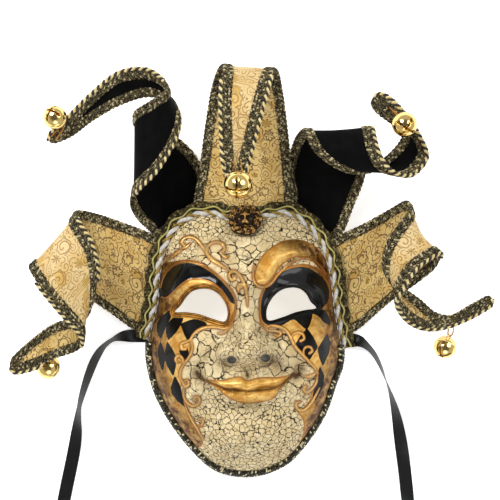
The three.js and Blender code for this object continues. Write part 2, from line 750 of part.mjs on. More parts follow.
// Ribbons lie on the table and end in a loose roll that stands on its edge.
function ribbonStrip({ route }) {
  const path = new THREE.CatmullRomCurve3(route.map(toVector));
  const twistPoints = route.map(([, , , twist]) => new THREE.Vector3(twist, 0, 0));
  const twists = new THREE.CatmullRomCurve3(twistPoints);
  const rows = [];
  for (let i = 0; i <= RIBBON_STEPS; i++) {
    const u = i / RIBBON_STEPS;
    const centre = path.getPoint(u);
    const along = path.getTangent(u);
    const level = new THREE.Vector3(-along.y, along.x, 0).normalize();
    const across = level.applyAxisAngle(along, THREE.MathUtils.degToRad(twists.getPoint(u).x));
    const normal = along.clone().cross(across).normalize();
    const standing = (Math.abs(across.z) * RIBBON_WIDTH + Math.abs(normal.z) * RIBBON_THICKNESS) / 2;
    centre.z = Math.max(centre.z, standing + RIBBON_CLEARANCE);
    const corner = (side, face) =>
      centre
        .clone()
        .addScaledVector(across, (side * RIBBON_WIDTH) / 2)
        .addScaledVector(normal, (face * RIBBON_THICKNESS) / 2)
        .toArray();
    rows.push([corner(-1, -1), corner(1, -1), corner(1, 1), corner(-1, 1)]);
  }
  return loft(rows);
}

function ribbonRoll({ roll }) {
  const [low, high] = [ROLL_CLEARANCE, RIBBON_WIDTH + 2 * ROLL_CLEARANCE];
  const profile = [
    [ROLL_INNER, low], [ROLL_OUTER, low], [ROLL_OUTER, high], [ROLL_INNER, high], [ROLL_INNER, low],
  ].map(([r, z]) => new THREE.Vector2(r, z));
  const geometry = new THREE.LatheGeometry(profile, ROLL_SIDES);
  geometry.rotateX(Math.PI / 2);
  geometry.translate(roll[0], roll[1], 0);
  return geometry;
}

// The mask as a whole, then moved so that the middle of its base is the origin.
const body = new THREE.Group();
const faceColumn = prism(offsetOutline(CLEARANCE * 2.5), FACE_COLUMN_BOTTOM, FACE_COLUMN_TOP);
body.add(mesh("face_shell", geometryOf(faceShell()), "face_shell"));
body.add(mesh("forehead_medallion", medallionGeometry(), "forehead_medallion"));
body.add(mesh("rope_cord", geometryOf(ropeCord()), "rope_cord"));
body.add(mesh("gimp_braid", geometryOf(gimpBraid()), "gimp_braid"));
body.add(mesh("jaw_braid", geometryOf(jawBraid()), "jaw_braid"));
for (const [name, shape] of Object.entries(HORNS)) {
  body.add(...horn(name, shape, faceColumn));
}
for (const [name, shape] of Object.entries(BELLS)) {
  body.add(mesh(`bell_${name}`, bell(shape), "bell"));
  body.add(mesh(`bell_${name}_tie`, bellTie(shape), "tie"));
}

const box = new THREE.Box3().setFromObject(body);
const centre = box.getCenter(new THREE.Vector3());
for (const [side, shape] of Object.entries(RIBBONS)) {
  body.add(mesh(`ribbon_${side}`, geometryOf(ribbonStrip(shape)), "ribbon"));
  body.add(mesh(`ribbon_${side}_roll`, ribbonRoll(shape), "ribbon"));
}
body.position.set(-centre.x, -centre.y, 0);

const mask = new THREE.Group();
mask.add(body);

export default mask;
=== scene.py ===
"""Venetian jester mask, dressed: painted face, cloth horns, braids, bells and satin ribbons.

Shapes are worked out in the mask's own millimetres (x to the viewer's right, y to the forehead,
z out of the face) and moved into the frame when a piece is made.
"""
import enum
import json
import logging
import math
from dataclasses import dataclass, field
from typing import Callable, Sequence

import bmesh
import bpy
import numpy as np
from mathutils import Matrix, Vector

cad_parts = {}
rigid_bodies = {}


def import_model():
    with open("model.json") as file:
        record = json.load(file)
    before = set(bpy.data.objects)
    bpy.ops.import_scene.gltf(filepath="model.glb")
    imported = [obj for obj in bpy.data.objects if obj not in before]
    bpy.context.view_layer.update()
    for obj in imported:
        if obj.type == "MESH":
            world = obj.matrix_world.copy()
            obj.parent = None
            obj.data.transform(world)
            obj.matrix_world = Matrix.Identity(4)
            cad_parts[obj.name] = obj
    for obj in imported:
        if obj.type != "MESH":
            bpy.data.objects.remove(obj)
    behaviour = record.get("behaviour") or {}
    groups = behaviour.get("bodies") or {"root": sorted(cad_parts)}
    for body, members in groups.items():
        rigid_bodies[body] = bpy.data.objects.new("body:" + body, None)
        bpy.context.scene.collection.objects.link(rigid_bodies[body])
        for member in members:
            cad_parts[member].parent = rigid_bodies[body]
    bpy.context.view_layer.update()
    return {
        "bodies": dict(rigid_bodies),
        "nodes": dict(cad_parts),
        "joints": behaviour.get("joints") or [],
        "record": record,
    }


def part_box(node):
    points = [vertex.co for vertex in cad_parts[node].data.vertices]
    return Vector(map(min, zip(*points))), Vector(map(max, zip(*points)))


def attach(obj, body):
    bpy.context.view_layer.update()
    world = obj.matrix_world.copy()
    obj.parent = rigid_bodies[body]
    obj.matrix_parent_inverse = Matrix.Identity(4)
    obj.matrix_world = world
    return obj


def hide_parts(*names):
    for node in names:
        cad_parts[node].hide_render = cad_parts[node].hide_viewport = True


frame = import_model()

Array = np.ndarray
Material, Mesh, Piece = bpy.types.Material, bpy.types.Mesh, bpy.types.Object
Node, Socket, Tree = bpy.types.Node, bpy.types.NodeSocket, bpy.types.NodeTree
Pixels = Sequence[Sequence[float]]
MM = 0.001
WELD_DISTANCE = 2e-6
log = logging.getLogger("mask")


def smoothstep(t: Array) -> Array:
    """Return 0 below 0, 1 above 1 and the cubic 3t^2 - 2t^3 between."""
    t = np.clip(t, 0, 1)
    return t * t * (3 - 2 * t)


def unit(v: Array) -> Array:
    """Scale vectors in the last axis to length 1."""
    return v / np.maximum(np.linalg.norm(v, axis=-1, keepdims=True), 1e-9)


def lengths_along(path: Array) -> Array:
    """Distance along a polyline from its first point to each of its points, in mm."""
    steps = np.linalg.norm(np.diff(path, axis=0), axis=-1)
    return np.concatenate([[0.0], np.cumsum(steps)])


def resampled(path: Array, count: int) -> Array:
    """Points at equal distances along a polyline."""
    along = lengths_along(path)
    wanted = np.linspace(0, along[-1], count)
    return np.stack([np.interp(wanted, along, path[:, k]) for k in range(path.shape[1])], axis=-1)


def directions(path: Array) -> Array:
    """Unit direction of a polyline at each of its points."""
    return unit(np.gradient(path, axis=0))


def at_height(loop: Array, z: Array) -> Array:
    """Points (count, 3) from a loop's first two columns and one height or one for each point."""
    flat = np.asarray(loop, float)[:, :2]
    return np.column_stack([flat, np.broadcast_to(z, len(flat))])


def hump(t: Array) -> Array:
    """Rounded rise, 1 at 0 and 0 from -1 and from 1 on: 0.5 + 0.5 cos(pi t)."""
    return 0.5 + 0.5 * np.cos(np.pi * np.clip(t, -1, 1))


def wound(path: Array, up: Array, pitch: float, phase: float, reach: float) -> Array:
    """Helix round a path: path + reach (cos(turn) side + sin(turn) lift), with side = path x up.

    Args:
        path: points (rows, 3) in mm.
        up: upward directions (rows, 3) or one (3,).
        pitch: length of a turn in mm, below 0 for the other way round.
        phase: turn at the start in radians.
        reach: distance from the path in mm.

    Returns:
        Points (rows, 3).
    """
    along = directions(path)
    side = unit(np.cross(along, up))
    turn = (2 * np.pi * lengths_along(path) / pitch + phase)[:, None]
    return path + reach * (np.cos(turn) * side + np.sin(turn) * np.cross(side, along))


@dataclass
class Spline:
    """Centripetal Catmull-Rom curve through given points, open or closed."""

    points: Array
    closed: bool = False
    divisions: int = 200

    def __post_init__(self) -> None:
        """Store the points as floats."""
        self.points = np.asarray(self.points, float)

    def control(self, index: Array) -> Array:
        """Point at an index: wrapped on a closed curve, extended in a straight line on an open one."""
        count = len(self.points)
        if self.closed:
            return self.points[index % count]
        inside = self.points[np.clip(index, 0, count - 1)]
        before = 2 * self.points[0] - self.points[1]
        after = 2 * self.points[-1] - self.points[-2]
        inside = np.where((index < 0)[..., None], before, inside)
        return np.where((index >= count)[..., None], after, inside)

    def point(self, t: Array) -> Array:
        """Point on the curve.

        Each span is a cubic whose end slopes come from knots spaced by the root of the distances.

        Args:
            t: share of the spans, 0 to 1, any shape.

        Returns:
            Points, with one more axis than t.
        """
        count = len(self.points)
        place = np.asarray(t, float) * (count if self.closed else count - 1)
        first = np.floor(place).astype(int)
        if not self.closed:
            first = np.clip(first, 0, count - 2)
        w = (place - first)[..., None]
        p = [self.control(first + k) for k in (-1, 0, 1, 2)]
        gap = [np.sum((b - a)[..., :3] ** 2, axis=-1, keepdims=True) ** 0.25 for a, b in zip(p, p[1:])]
        middle = np.where(gap[1] < 1e-4, 1.0, gap[1])
        start = np.where(gap[0] < 1e-4, middle, gap[0])
        end = np.where(gap[2] < 1e-4, middle, gap[2])
        slope1 = (p[1] - p[0]) / start - (p[2] - p[0]) / (start + middle) + (p[2] - p[1]) / middle
        slope2 = (p[2] - p[1]) / middle - (p[3] - p[1]) / (middle + end) + (p[3] - p[2]) / end
        slope1, slope2 = slope1 * middle, slope2 * middle
        c2 = -3 * p[1] + 3 * p[2] - 2 * slope1 - slope2
        c3 = 2 * p[1] - 2 * p[2] + slope1 + slope2
        return p[1] + slope1 * w + c2 * w**2 + c3 * w**3

    def tangent(self, t: Array) -> Array:
        """Unit direction of the curve at a share of its spans."""
        t = np.asarray(t, float)
        low, high = t - 1e-4, t + 1e-4
        if not self.closed:
            low, high = np.maximum(low, 0), np.minimum(high, 1)
        return unit(self.point(high) - self.point(low))

    def share_at(self, fraction: Array) -> Array:
        """Share of the spans at a fraction of the curve's length, from equal chords."""
        t = np.linspace(0, 1, self.divisions + 1)
        along = lengths_along(self.point(t))
        return np.interp(np.asarray(fraction) * along[-1], along, t)

    def length(self) -> float:
        """Length of the curve in mm."""
        return float(lengths_along(self.point(np.linspace(0, 1, self.divisions + 1)))[-1])


@dataclass
class Skin:
    """One surface: points in mm, faces of four corners, a UV in mm and named values at each point."""

    points: Array
    quads: Array
    uv: Array
    values: dict = field(default_factory=dict)
    material: int = 0


def signed_volume(points: Array, quads: Array) -> float:
    """Volume inside a closed surface, negative where its faces point inwards."""
    a, b, c, d = (points[quads[:, k]] for k in range(4))
    halves = np.einsum("ij,ij->i", a, np.cross(b, c)) + np.einsum("ij,ij->i", a, np.cross(c, d))
    return float(halves.sum() / 6)


def skin(points: Array, uv: Array, material: int = 0) -> Skin:
    """Turn a grid of points that closes on itself into a surface whose faces point outwards.

    Args:
        points: grid (rows, columns, 3). A seam or a pole is written twice and welded later.
        uv: grid (rows, columns, 2) in mm.
        material: number of the surface's material.

    Returns:
        The surface.
    """
    rows, columns = points.shape[:2]
    index = np.arange(rows * columns).reshape(rows, columns)
    quads = np.stack([index[:-1, :-1], index[1:, :-1], index[1:, 1:], index[:-1, 1:]], -1).reshape(-1, 4)
    flat = points.reshape(-1, 3)
    if signed_volume(flat, quads) < 0:
        quads = quads[:, ::-1]
    return Skin(flat, quads, uv.reshape(-1, 2), {}, material)


def capped(points: Array, uv: Array) -> tuple[Array, Array]:
    """Close both ends of a tube's grid, whose last column repeats its first one, at their middles."""
    ends = [np.broadcast_to(points[k, :-1].mean(0), points[:1].shape) for k in (0, -1)]
    return np.concatenate([ends[0], points, ends[1]]), np.concatenate([uv[:1], uv, uv[-1:]])


def poled(points: Array) -> Array:
    """Close both ends of a grid with a pole at the mean of its end row."""
    poles = [np.broadcast_to(points[k].mean(0), points[:1].shape) for k in (0, -1)]
    return np.concatenate([poles[0], points, poles[1]])


def sweep(path: Array, up: Array, profile: Array, material: int = 0) -> Skin:
    """Carry a closed profile along a path, with both ends closed at their middle.

    The side direction is path direction x up, and a point is path + side * p0 + up * p1.

    Args:
        path: points (rows, 3) in mm.
        up: rough upward directions (rows, 3) or one (3,).
        profile: closed loop of (side, up) offsets, (columns, 2) or one for each row.
        material: number of the material.

    Returns:
        The surface, with u round the profile and v along the path, in mm.
    """
    along = directions(path)
    side = unit(np.cross(along, up))
    lift = np.cross(side, along)
    loop = np.broadcast_to(profile, (len(path),) + profile.shape[-2:])
    loop = np.concatenate([loop, loop[:, :1]], axis=1)
    points = path[:, None] + loop[..., :1] * side[:, None] + loop[..., 1:] * lift[:, None]
    around = np.concatenate([[0.0], np.cumsum(np.linalg.norm(np.diff(loop[0], axis=0), axis=-1))])
    uv = np.stack(np.broadcast_arrays(around[None], lengths_along(path)[:, None]), axis=-1)
    return skin(*capped(points, uv), material)


def circle(radius: float, count: int) -> Array:
    """Closed loop of points on a circle."""
    angle = np.linspace(0, 2 * np.pi, count, endpoint=False)
    return radius * np.stack([np.cos(angle), np.sin(angle)], axis=-1)


def rounded_bar(width: float, height: float, count: int, squareness: float) -> Array:
    """Closed loop of a bar with rounded corners: a superellipse, cosine and sine to a power below 1."""
    angle = np.linspace(0, 2 * np.pi, count, endpoint=False)
    c, s = np.cos(angle), np.sin(angle)
    x = width / 2 * np.sign(c) * np.abs(c) ** squareness
    y = height / 2 * np.sign(s) * np.abs(s) ** squareness
    return np.stack([x, y], axis=-1)


def world_shift() -> Array:
    """Offset in mm from the mask's own drawing to the frame, from the left ribbon roll in both."""
    low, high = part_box("ribbon_left_roll")
    middle = (np.array(low) + np.array(high)) / 2 / MM
    return np.array([middle[0] - Ribbon.LEFT_ROLL[0], middle[1] - Ribbon.LEFT_ROLL[1], 0.0])


def to_frame(points: Array) -> Array:
    """Move points from the mask's millimetres to the frame's metres."""
    return (points + world_shift()) * MM


def put(name: str, data: bpy.types.ID) -> Piece:
    """Make an object of a mesh, a light or a camera and add it to the scene."""
    made = bpy.data.objects.new(name, data)
    bpy.context.scene.collection.objects.link(made)
    return made


def make_piece(name: str, skins: Sequence[Skin], materials: Sequence[Material],
               nodes: Sequence[str]) -> Piece:
    """Make one mesh object of several surfaces, weld its seams and tie it to the part.

    Args:
        name: name of the piece.
        skins: its surfaces.
        materials: its materials, by the surfaces' numbers.
        nodes: the solids that it stands for.

    Returns:
        The object, at the origin.
    """
    mesh = bpy.data.meshes.new(name)
    starts = np.cumsum([0] + [len(s.points) for s in skins])
    points = to_frame(np.concatenate([s.points for s in skins]))
    quads = np.concatenate([s.quads + start for s, start in zip(skins, starts)])
    uv = np.concatenate([s.uv for s in skins])
    mesh.vertices.add(len(points))
    mesh.vertices.foreach_set("co", points.astype(np.float32).ravel())
    mesh.loops.add(quads.size)
    mesh.loops.foreach_set("vertex_index", quads.astype(np.int32).ravel())
    mesh.polygons.add(len(quads))
    mesh.polygons.foreach_set("loop_start", np.arange(0, quads.size, 4, dtype=np.int32))
    mesh.update(calc_edges=True)
    layer = mesh.uv_layers.new(name="UVMap")
    layer.data.foreach_set("uv", uv[quads.ravel()].astype(np.float32).ravel())
    numbers = np.concatenate([np.full(len(s.quads), s.material, np.int32) for s in skins])
    mesh.polygons.foreach_set("material_index", numbers)
    for key in skins[0].values:
        write_values(mesh, key, np.concatenate([s.values[key] for s in skins]))
    weld(mesh)
    mesh.polygons.foreach_set("use_smooth", np.ones(len(mesh.polygons), bool))
    piece = put(name, mesh)
    for material in materials:
        mesh.materials.append(material)
    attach(piece, "root")
    if nodes:
        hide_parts(*nodes)
    log.info("%s: %d faces", name, len(mesh.polygons))
    return piece


def write_values(mesh: Mesh, key: str, values: Array) -> None:
    """Store one number at each point of a mesh for its material to read."""
    store = mesh.attributes.get(key) or mesh.attributes.new(key, "FLOAT", "POINT")
    store.data.foreach_set("value", values.astype(np.float32))


def weld(mesh: Mesh) -> None:
    """Merge the doubled points of seams, poles and pinched ends, and drop faces without area."""
    work = bmesh.new()
    work.from_mesh(mesh)
    bmesh.ops.remove_doubles(work, verts=work.verts, dist=WELD_DISTANCE)
    bmesh.ops.dissolve_degenerate(work, edges=work.edges, dist=WELD_DISTANCE / 4)
    work.to_mesh(mesh)
    work.free()
    mesh.validate()


@dataclass
class Lens:
    """The camera, straight above the mask, and the rays through pixels of its 500 by 500 frame."""

    at: tuple = (2.7, 85.5)
    height: float = 1100.0
    focal: float = 86.0
    sensor: float = 36.0
    frame: float = 500.0

    def pixel(self, z: Array) -> Array:
        """Size of a pixel in mm at height z."""
        return (self.height - z) * self.sensor / self.focal / self.frame

    def place(self, pixels: Pixels, z: Array) -> Array:
        """Points that the pixels show at heights z.

        Args:
            pixels: (count, 2 or more) columns and rows in the frame; further columns are dropped.
            z: height of each point in mm.

        Returns:
            Points (count, 3) in mm.
        """
        p = np.asarray(pixels, float)
        z = np.broadcast_to(np.asarray(z, float), p.shape[:1])
        x = self.at[0] + (p[:, 0] - self.frame / 2) * self.pixel(z)
        y = self.at[1] + (self.frame / 2 - p[:, 1]) * self.pixel(z)
        return np.stack([x, y, z], axis=-1)

    def make(self) -> None:
        """Create the camera, which looks straight down with the forehead at the top."""
        data = bpy.data.cameras.new("camera")
        data.lens = self.focal
        data.sensor_width = self.sensor
        camera = put("camera", data)
        camera.location = to_frame(np.array([*self.at, self.height]))
        bpy.context.scene.camera = camera


@dataclass
class Studio:
    """Pale floor and soft lights."""

    floor_size: float = 6.0
    floor_colour: tuple = (0.93, 0.93, 0.93, 1.0)
    floor_glow: float = 0.55
    world_strength: float = 0.62
    overhead: tuple = (0.22, 0.22, 0.23, 1.0)
    sky_band: tuple = (0.55, 0.93)
    focus: tuple = (0.0, 0.0, 0.05)
    lights: tuple = (
        ("key_light", (-0.75, 0.85, 1.3), 0.8, 22.0),
        ("fill_light", (0.95, 0.45, 1.2), 1.0, 9.0),
        ("low_light", (0.1, -1.2, 1.0), 1.0, 6.0),
    )

    def light(self, name: str, at: tuple, size: float, watts: float) -> None:
        """Add a round area light that looks at the middle of the mask, places in metres."""
        data = bpy.data.lights.new(name, "AREA")
        data.shape = "DISK"
        data.size = size
        data.energy = watts
        lamp = put(name, data)
        lamp.location = at
        lamp.rotation_euler = (Vector(self.focus) - Vector(at)).to_track_quat("-Z", "Y").to_euler()

    def make(self) -> None:
        """Create the lit floor, the surroundings, the lights and the plain view.

        The surroundings are white and grow darker straight above, so that black paint stays black.
        """
        h = self.floor_size / 2
        mesh = bpy.data.meshes.new("floor")
        mesh.from_pydata([(-h, -h, 0), (h, -h, 0), (h, h, 0), (-h, h, 0)], [], [(0, 1, 2, 3)])
        paint = bpy.data.materials.new("floor")
        paint.use_nodes = True
        Graph(paint.node_tree).feed(paint.node_tree.nodes["Principled BSDF"], {
            "Base Color": self.floor_colour, "Roughness": 0.9, "Emission Color": (1, 1, 1, 1),
            "Emission Strength": self.floor_glow})
        mesh.materials.append(paint)
        put("floor", mesh)
        world = bpy.data.worlds.new("studio")
        world.use_nodes = True
        g = Graph(world.node_tree)
        _, _, upward = g.apart(g.read(g.node("TexCoord"))["Generated"])
        sky = world.node_tree.nodes["Background"]
        colour = g.mix(g.step(upward, *self.sky_band), (1.0, 1.0, 1.0, 1.0), self.overhead)
        g.feed(sky, {"Color": colour, "Strength": self.world_strength})
        bpy.context.scene.world = world
        for name, at, size, watts in self.lights:
            self.light(name, at, size, watts)
        bpy.context.scene.view_settings.view_transform = "Standard"


@dataclass
class Ribbon:
    """A satin ribbon on the table, from under the temple to a loose roll that stands on its edge."""

    LEFT_ROLL = (-137.5, -184.0)
    RIGHT_ROLL = (114.5, -184.0)
    name: str
    roll: tuple
    route: Sequence
    turn: int
    width: float = 12.0
    thickness: float = 0.7
    length: float = 450.0
    outer: float = 33.8
    inner: float = 26.4
    clearance: float = 0.1

    def path(self) -> Array:
        """Middle line with its twist, [x, y, z, degrees]: the route, then a spiral of the length left.

        The spiral's radius falls in proportion to its angle, from outer to inner.
        """
        start = Spline(np.array(self.route)).point(np.linspace(0, 1, 160))
        left = self.length - lengths_along(start[:, :3])[-1]
        step = np.array(self.route[-1][:2]) - np.array(self.roll)
        begin = math.pi if self.turn > 0 else 0.0
        entry = np.hypot(*(step - self.outer * np.array([math.cos(begin), math.sin(begin)])))
        sweep_angle = (left - entry) / ((self.outer + self.inner) / 2)
        angle = np.linspace(0, sweep_angle, 90)
        radius = self.outer + (self.inner - self.outer) * angle / sweep_angle
        heading = begin + self.turn * angle
        x = self.roll[0] + radius * np.cos(heading)
        y = self.roll[1] + radius * np.sin(heading)
        level, twist = (np.full_like(x, value) for value in self.route[-1][2:])
        coil = np.stack([x, y, level, twist], axis=-1)
        joined = Spline(np.concatenate([start[:-1:8], start[-1:], coil[2::6]]))
        return resampled(joined.point(np.linspace(0, 1, 900)), 420)

    def make(self, satin: Material) -> Piece:
        path = self.path()
        centre, twist = path[:, :3].copy(), np.radians(path[:, 3])[:, None]
        along = directions(centre)
        level = unit(np.stack([-along[:, 1], along[:, 0], np.zeros(len(along))], axis=-1))
        across = level * np.cos(twist) + np.cross(along, level) * np.sin(twist)
        normal = np.cross(along, across)
        standing = (np.abs(across[:, 2]) * self.width + np.abs(normal[:, 2]) * self.thickness) / 2
        centre[:, 2] = np.maximum(centre[:, 2], standing + self.clearance)
        bar = rounded_bar(self.width, self.thickness, 28, 0.35)
        bar[:, 1] *= 0.75 + 0.25 * (np.abs(bar[:, 0]) > 0.42 * self.width)
        surface = sweep(centre, normal, bar)
        nodes = [self.name[6:], self.name[6:] + "_roll"]
        piece = make_piece(self.name, [surface], [satin], nodes)
        tuple(to_frame(centre[0]))
        self.width * MM
        [tuple(p) for p in to_frame(centre[::4])]
        return piece


LEFT_ROUTE = [
    [-91.2, 6.5, 1.1, 0], [-103, 6.6, 1.2, 4], [-113, 6.4, 4.2, 38], [-124, 3, 6.2, 74],
    [-133, -5, 5.6, 58], [-140.5, -17, 4.9, 46], [-147, -34, 5.1, 50], [-152, -50, 5.6, 60],
    [-154.3, -61, 5.7, 64], [-156, -78, 3.8, 34], [-159, -98, 1.2, 8], [-164.8, -126.2, 0.6, 0],
    [-169, -147, 1.2, 8], [-171, -158, 4.6, 46], [-172, -170, 6.3, 90],
]
RIGHT_ROUTE = [
    [87.2, 2.4, 1.1, 0], [98, 2.6, 1.3, -5], [107, -0.5, 5.2, -52], [115.5, -8.5, 5.8, -66],
    [121.8, -20, 6, -72], [127.4, -34.6, 6.3, -86], [132.4, -49, 6.1, -104], [136.8, -66, 5.1, -128],
    [140.7, -87.5, 2.6, -156], [144.4, -112.4, 0.7, -180], [147.8, -144.6, 1.2, -188],
    [148.8, -158, 4.6, -226], [149, -170, 6.3, -270],
]


def line_distance(x: Array, y: Array, path: Array) -> tuple[Array, Array]:
    """Distance to a polyline, and its half width at the nearest place.

    Args:
        x, y: places in mm, one axis.
        path: (count, 3) points with a half width.

    Returns:
        Distances and half widths, each shaped as x.
    """
    best = np.full(x.shape, 1e9)
    width = np.zeros(x.shape)
    for (ax, ay, aw), (bx, by, bw) in zip(path[:-1], path[1:]):
        span = (bx - ax) ** 2 + (by - ay) ** 2 + 1e-9
        t = np.clip(((x - ax) * (bx - ax) + (y - ay) * (by - ay)) / span, 0, 1)
        d = np.hypot(x - ax - t * (bx - ax), y - ay - t * (by - ay))
        nearer = d < best
        best = np.where(nearer, d, best)
        width = np.where(nearer, aw + t * (bw - aw), width)
    return best, width


def area_distance(x: Array, y: Array, loop: Array) -> Array:
    """Signed distance to the edge of a closed outline in mm, positive inside it (even-odd rule)."""
    inside = np.zeros(x.shape, bool)
    best = np.full(x.shape, 1e9)
    for (ax, ay), (bx, by) in zip(loop[:, :2], np.roll(loop[:, :2], -1, axis=0)):
        span = (bx - ax) ** 2 + (by - ay) ** 2 + 1e-9
        t = np.clip(((x - ax) * (bx - ax) + (y - ay) * (by - ay)) / span, 0, 1)
        best = np.minimum(best, np.hypot(x - ax - t * (bx - ax), y - ay - t * (by - ay)))
        crosses = (ay > y) != (by > y)
        slope = (bx - ax) / (by - ay if by != ay else 1e-9)
        inside ^= crosses & (x < ax + slope * (y - ay))
    return np.where(inside, best, -best)


OUTLINE = [
    [-90, -9], [-89.5, 4], [-85.2, 20], [-80.3, 40], [-78.6, 61], [-72, 87.5], [-59, 107],
    [-38.5, 116], [-17, 112.5], [0, 110.2], [17, 113], [35, 116], [52, 106.5], [65, 90],
    [74.5, 65], [78, 40], [82, 16], [86, -4], [85, -20], [78.8, -37], [70.3, -61.5],
    [55.5, -85.8], [33.9, -108.6], [4, -118.7], [-27.3, -113.5], [-51.5, -92.2], [-69, -69],
    [-81.8, -45], [-88, -24],
]
# Rounded swellings: centre x, y, half widths, turn in degrees and rise.
SWELLS = {
    "nose_tip": (0.5, 0, 13, 10, 0, 12),
    "nose_ball": (0.8, -5, 18, 9, 0, 9),
    "left_wing": (-19.5, -3.5, 9, 8, 0, 11),
    "right_wing": (22.5, -2.5, 9, 8, 0, 11),
    "left_socket": (-40, 33, 25, 15, 10, -9),
    "right_socket": (39, 36, 25, 15, -8, -9),
    "left_lid": (-42, 53, 27, 7, 6, 5),
    "right_lid": (42, 55, 27, 7, -4, 4),
    "left_cheek": (-50, 2, 22, 17, 35, 9),
    "right_cheek": (50, 4, 22, 17, -35, 9),
    "muzzle": (1, -32, 38, 18, 0, 8),
    "chin": (0, -79, 24, 16, 0, 10),
    "chin_groove": (1, -54, 24, 5.5, 0, -5),
    "left_dimple": (-42, -24, 7, 9, -20, -6),
    "right_dimple": (46, -20, 7, 9, 20, -6),
    "philtrum": (0.5, -19, 4.5, 5.5, 0, -4),
}
# Ridges and creases: rise, and points with a half width.
RIDGES = {
    "nose_bridge": (17, [[0, 55, 11], [0, 38, 10], [0, 22, 11], [0.5, 6, 14]]),
    "left_brow": (7, [[-12, 62, 8], [-30, 74, 9], [-52, 72, 9], [-68, 56, 7]]),
    "right_brow": (8, [[15, 61, 9], [17.5, 71, 10], [27, 81, 9.5], [42, 85, 8.5], [55, 82, 7],
                       [66, 68, 4.5]]),
    "upper_lip": (5, [[-35.5, -25.5, 3], [-22, -30.6, 4.7], [-5, -29.4, 5.5], [0, -32, 5], [7, -30, 5.5],
                      [26, -28, 4.7], [40, -21, 3]]),
    "lower_lip": (6, [[-12, -39, 4.5], [0, -41.7, 5.5], [13, -40.3, 5.5], [24, -37, 3.5]]),
    "mouth_line": (-4, [[-37, -26.5, 2.5], [-20, -35, 2], [0, -37.5, 2.2], [12, -34, 2], [27, -33.5, 2],
                        [41, -21.5, 2.5]]),
    "left_smile": (-5, [[-27, 1, 4], [-35, -11, 5], [-43, -23, 5]]),
    "right_smile": (-5, [[30, 3, 4], [38, -8, 5], [46, -19, 5]]),
}
EYES = {
    "left": [[-64, 30.5], [-59, 36], [-54, 43], [-48, 49], [-40, 51.5], [-32, 51], [-25, 47], [-20.5, 41.5],
             [-17.5, 35], [-17, 28], [-19.5, 23.5], [-30, 25.5], [-42, 29], [-54, 30.5]],
    "right": [[61.5, 34], [56.5, 39.5], [52, 47], [46, 51.5], [38.5, 52.5], [30.5, 50.5], [23.5, 45],
              [18.5, 37], [17, 30.5], [18.5, 24.5], [31.5, 27], [42, 30.5], [52, 32.5]],
}
NOSTRILS = {"left": (-12.9, -8.2), "right": (16, -6.8)}


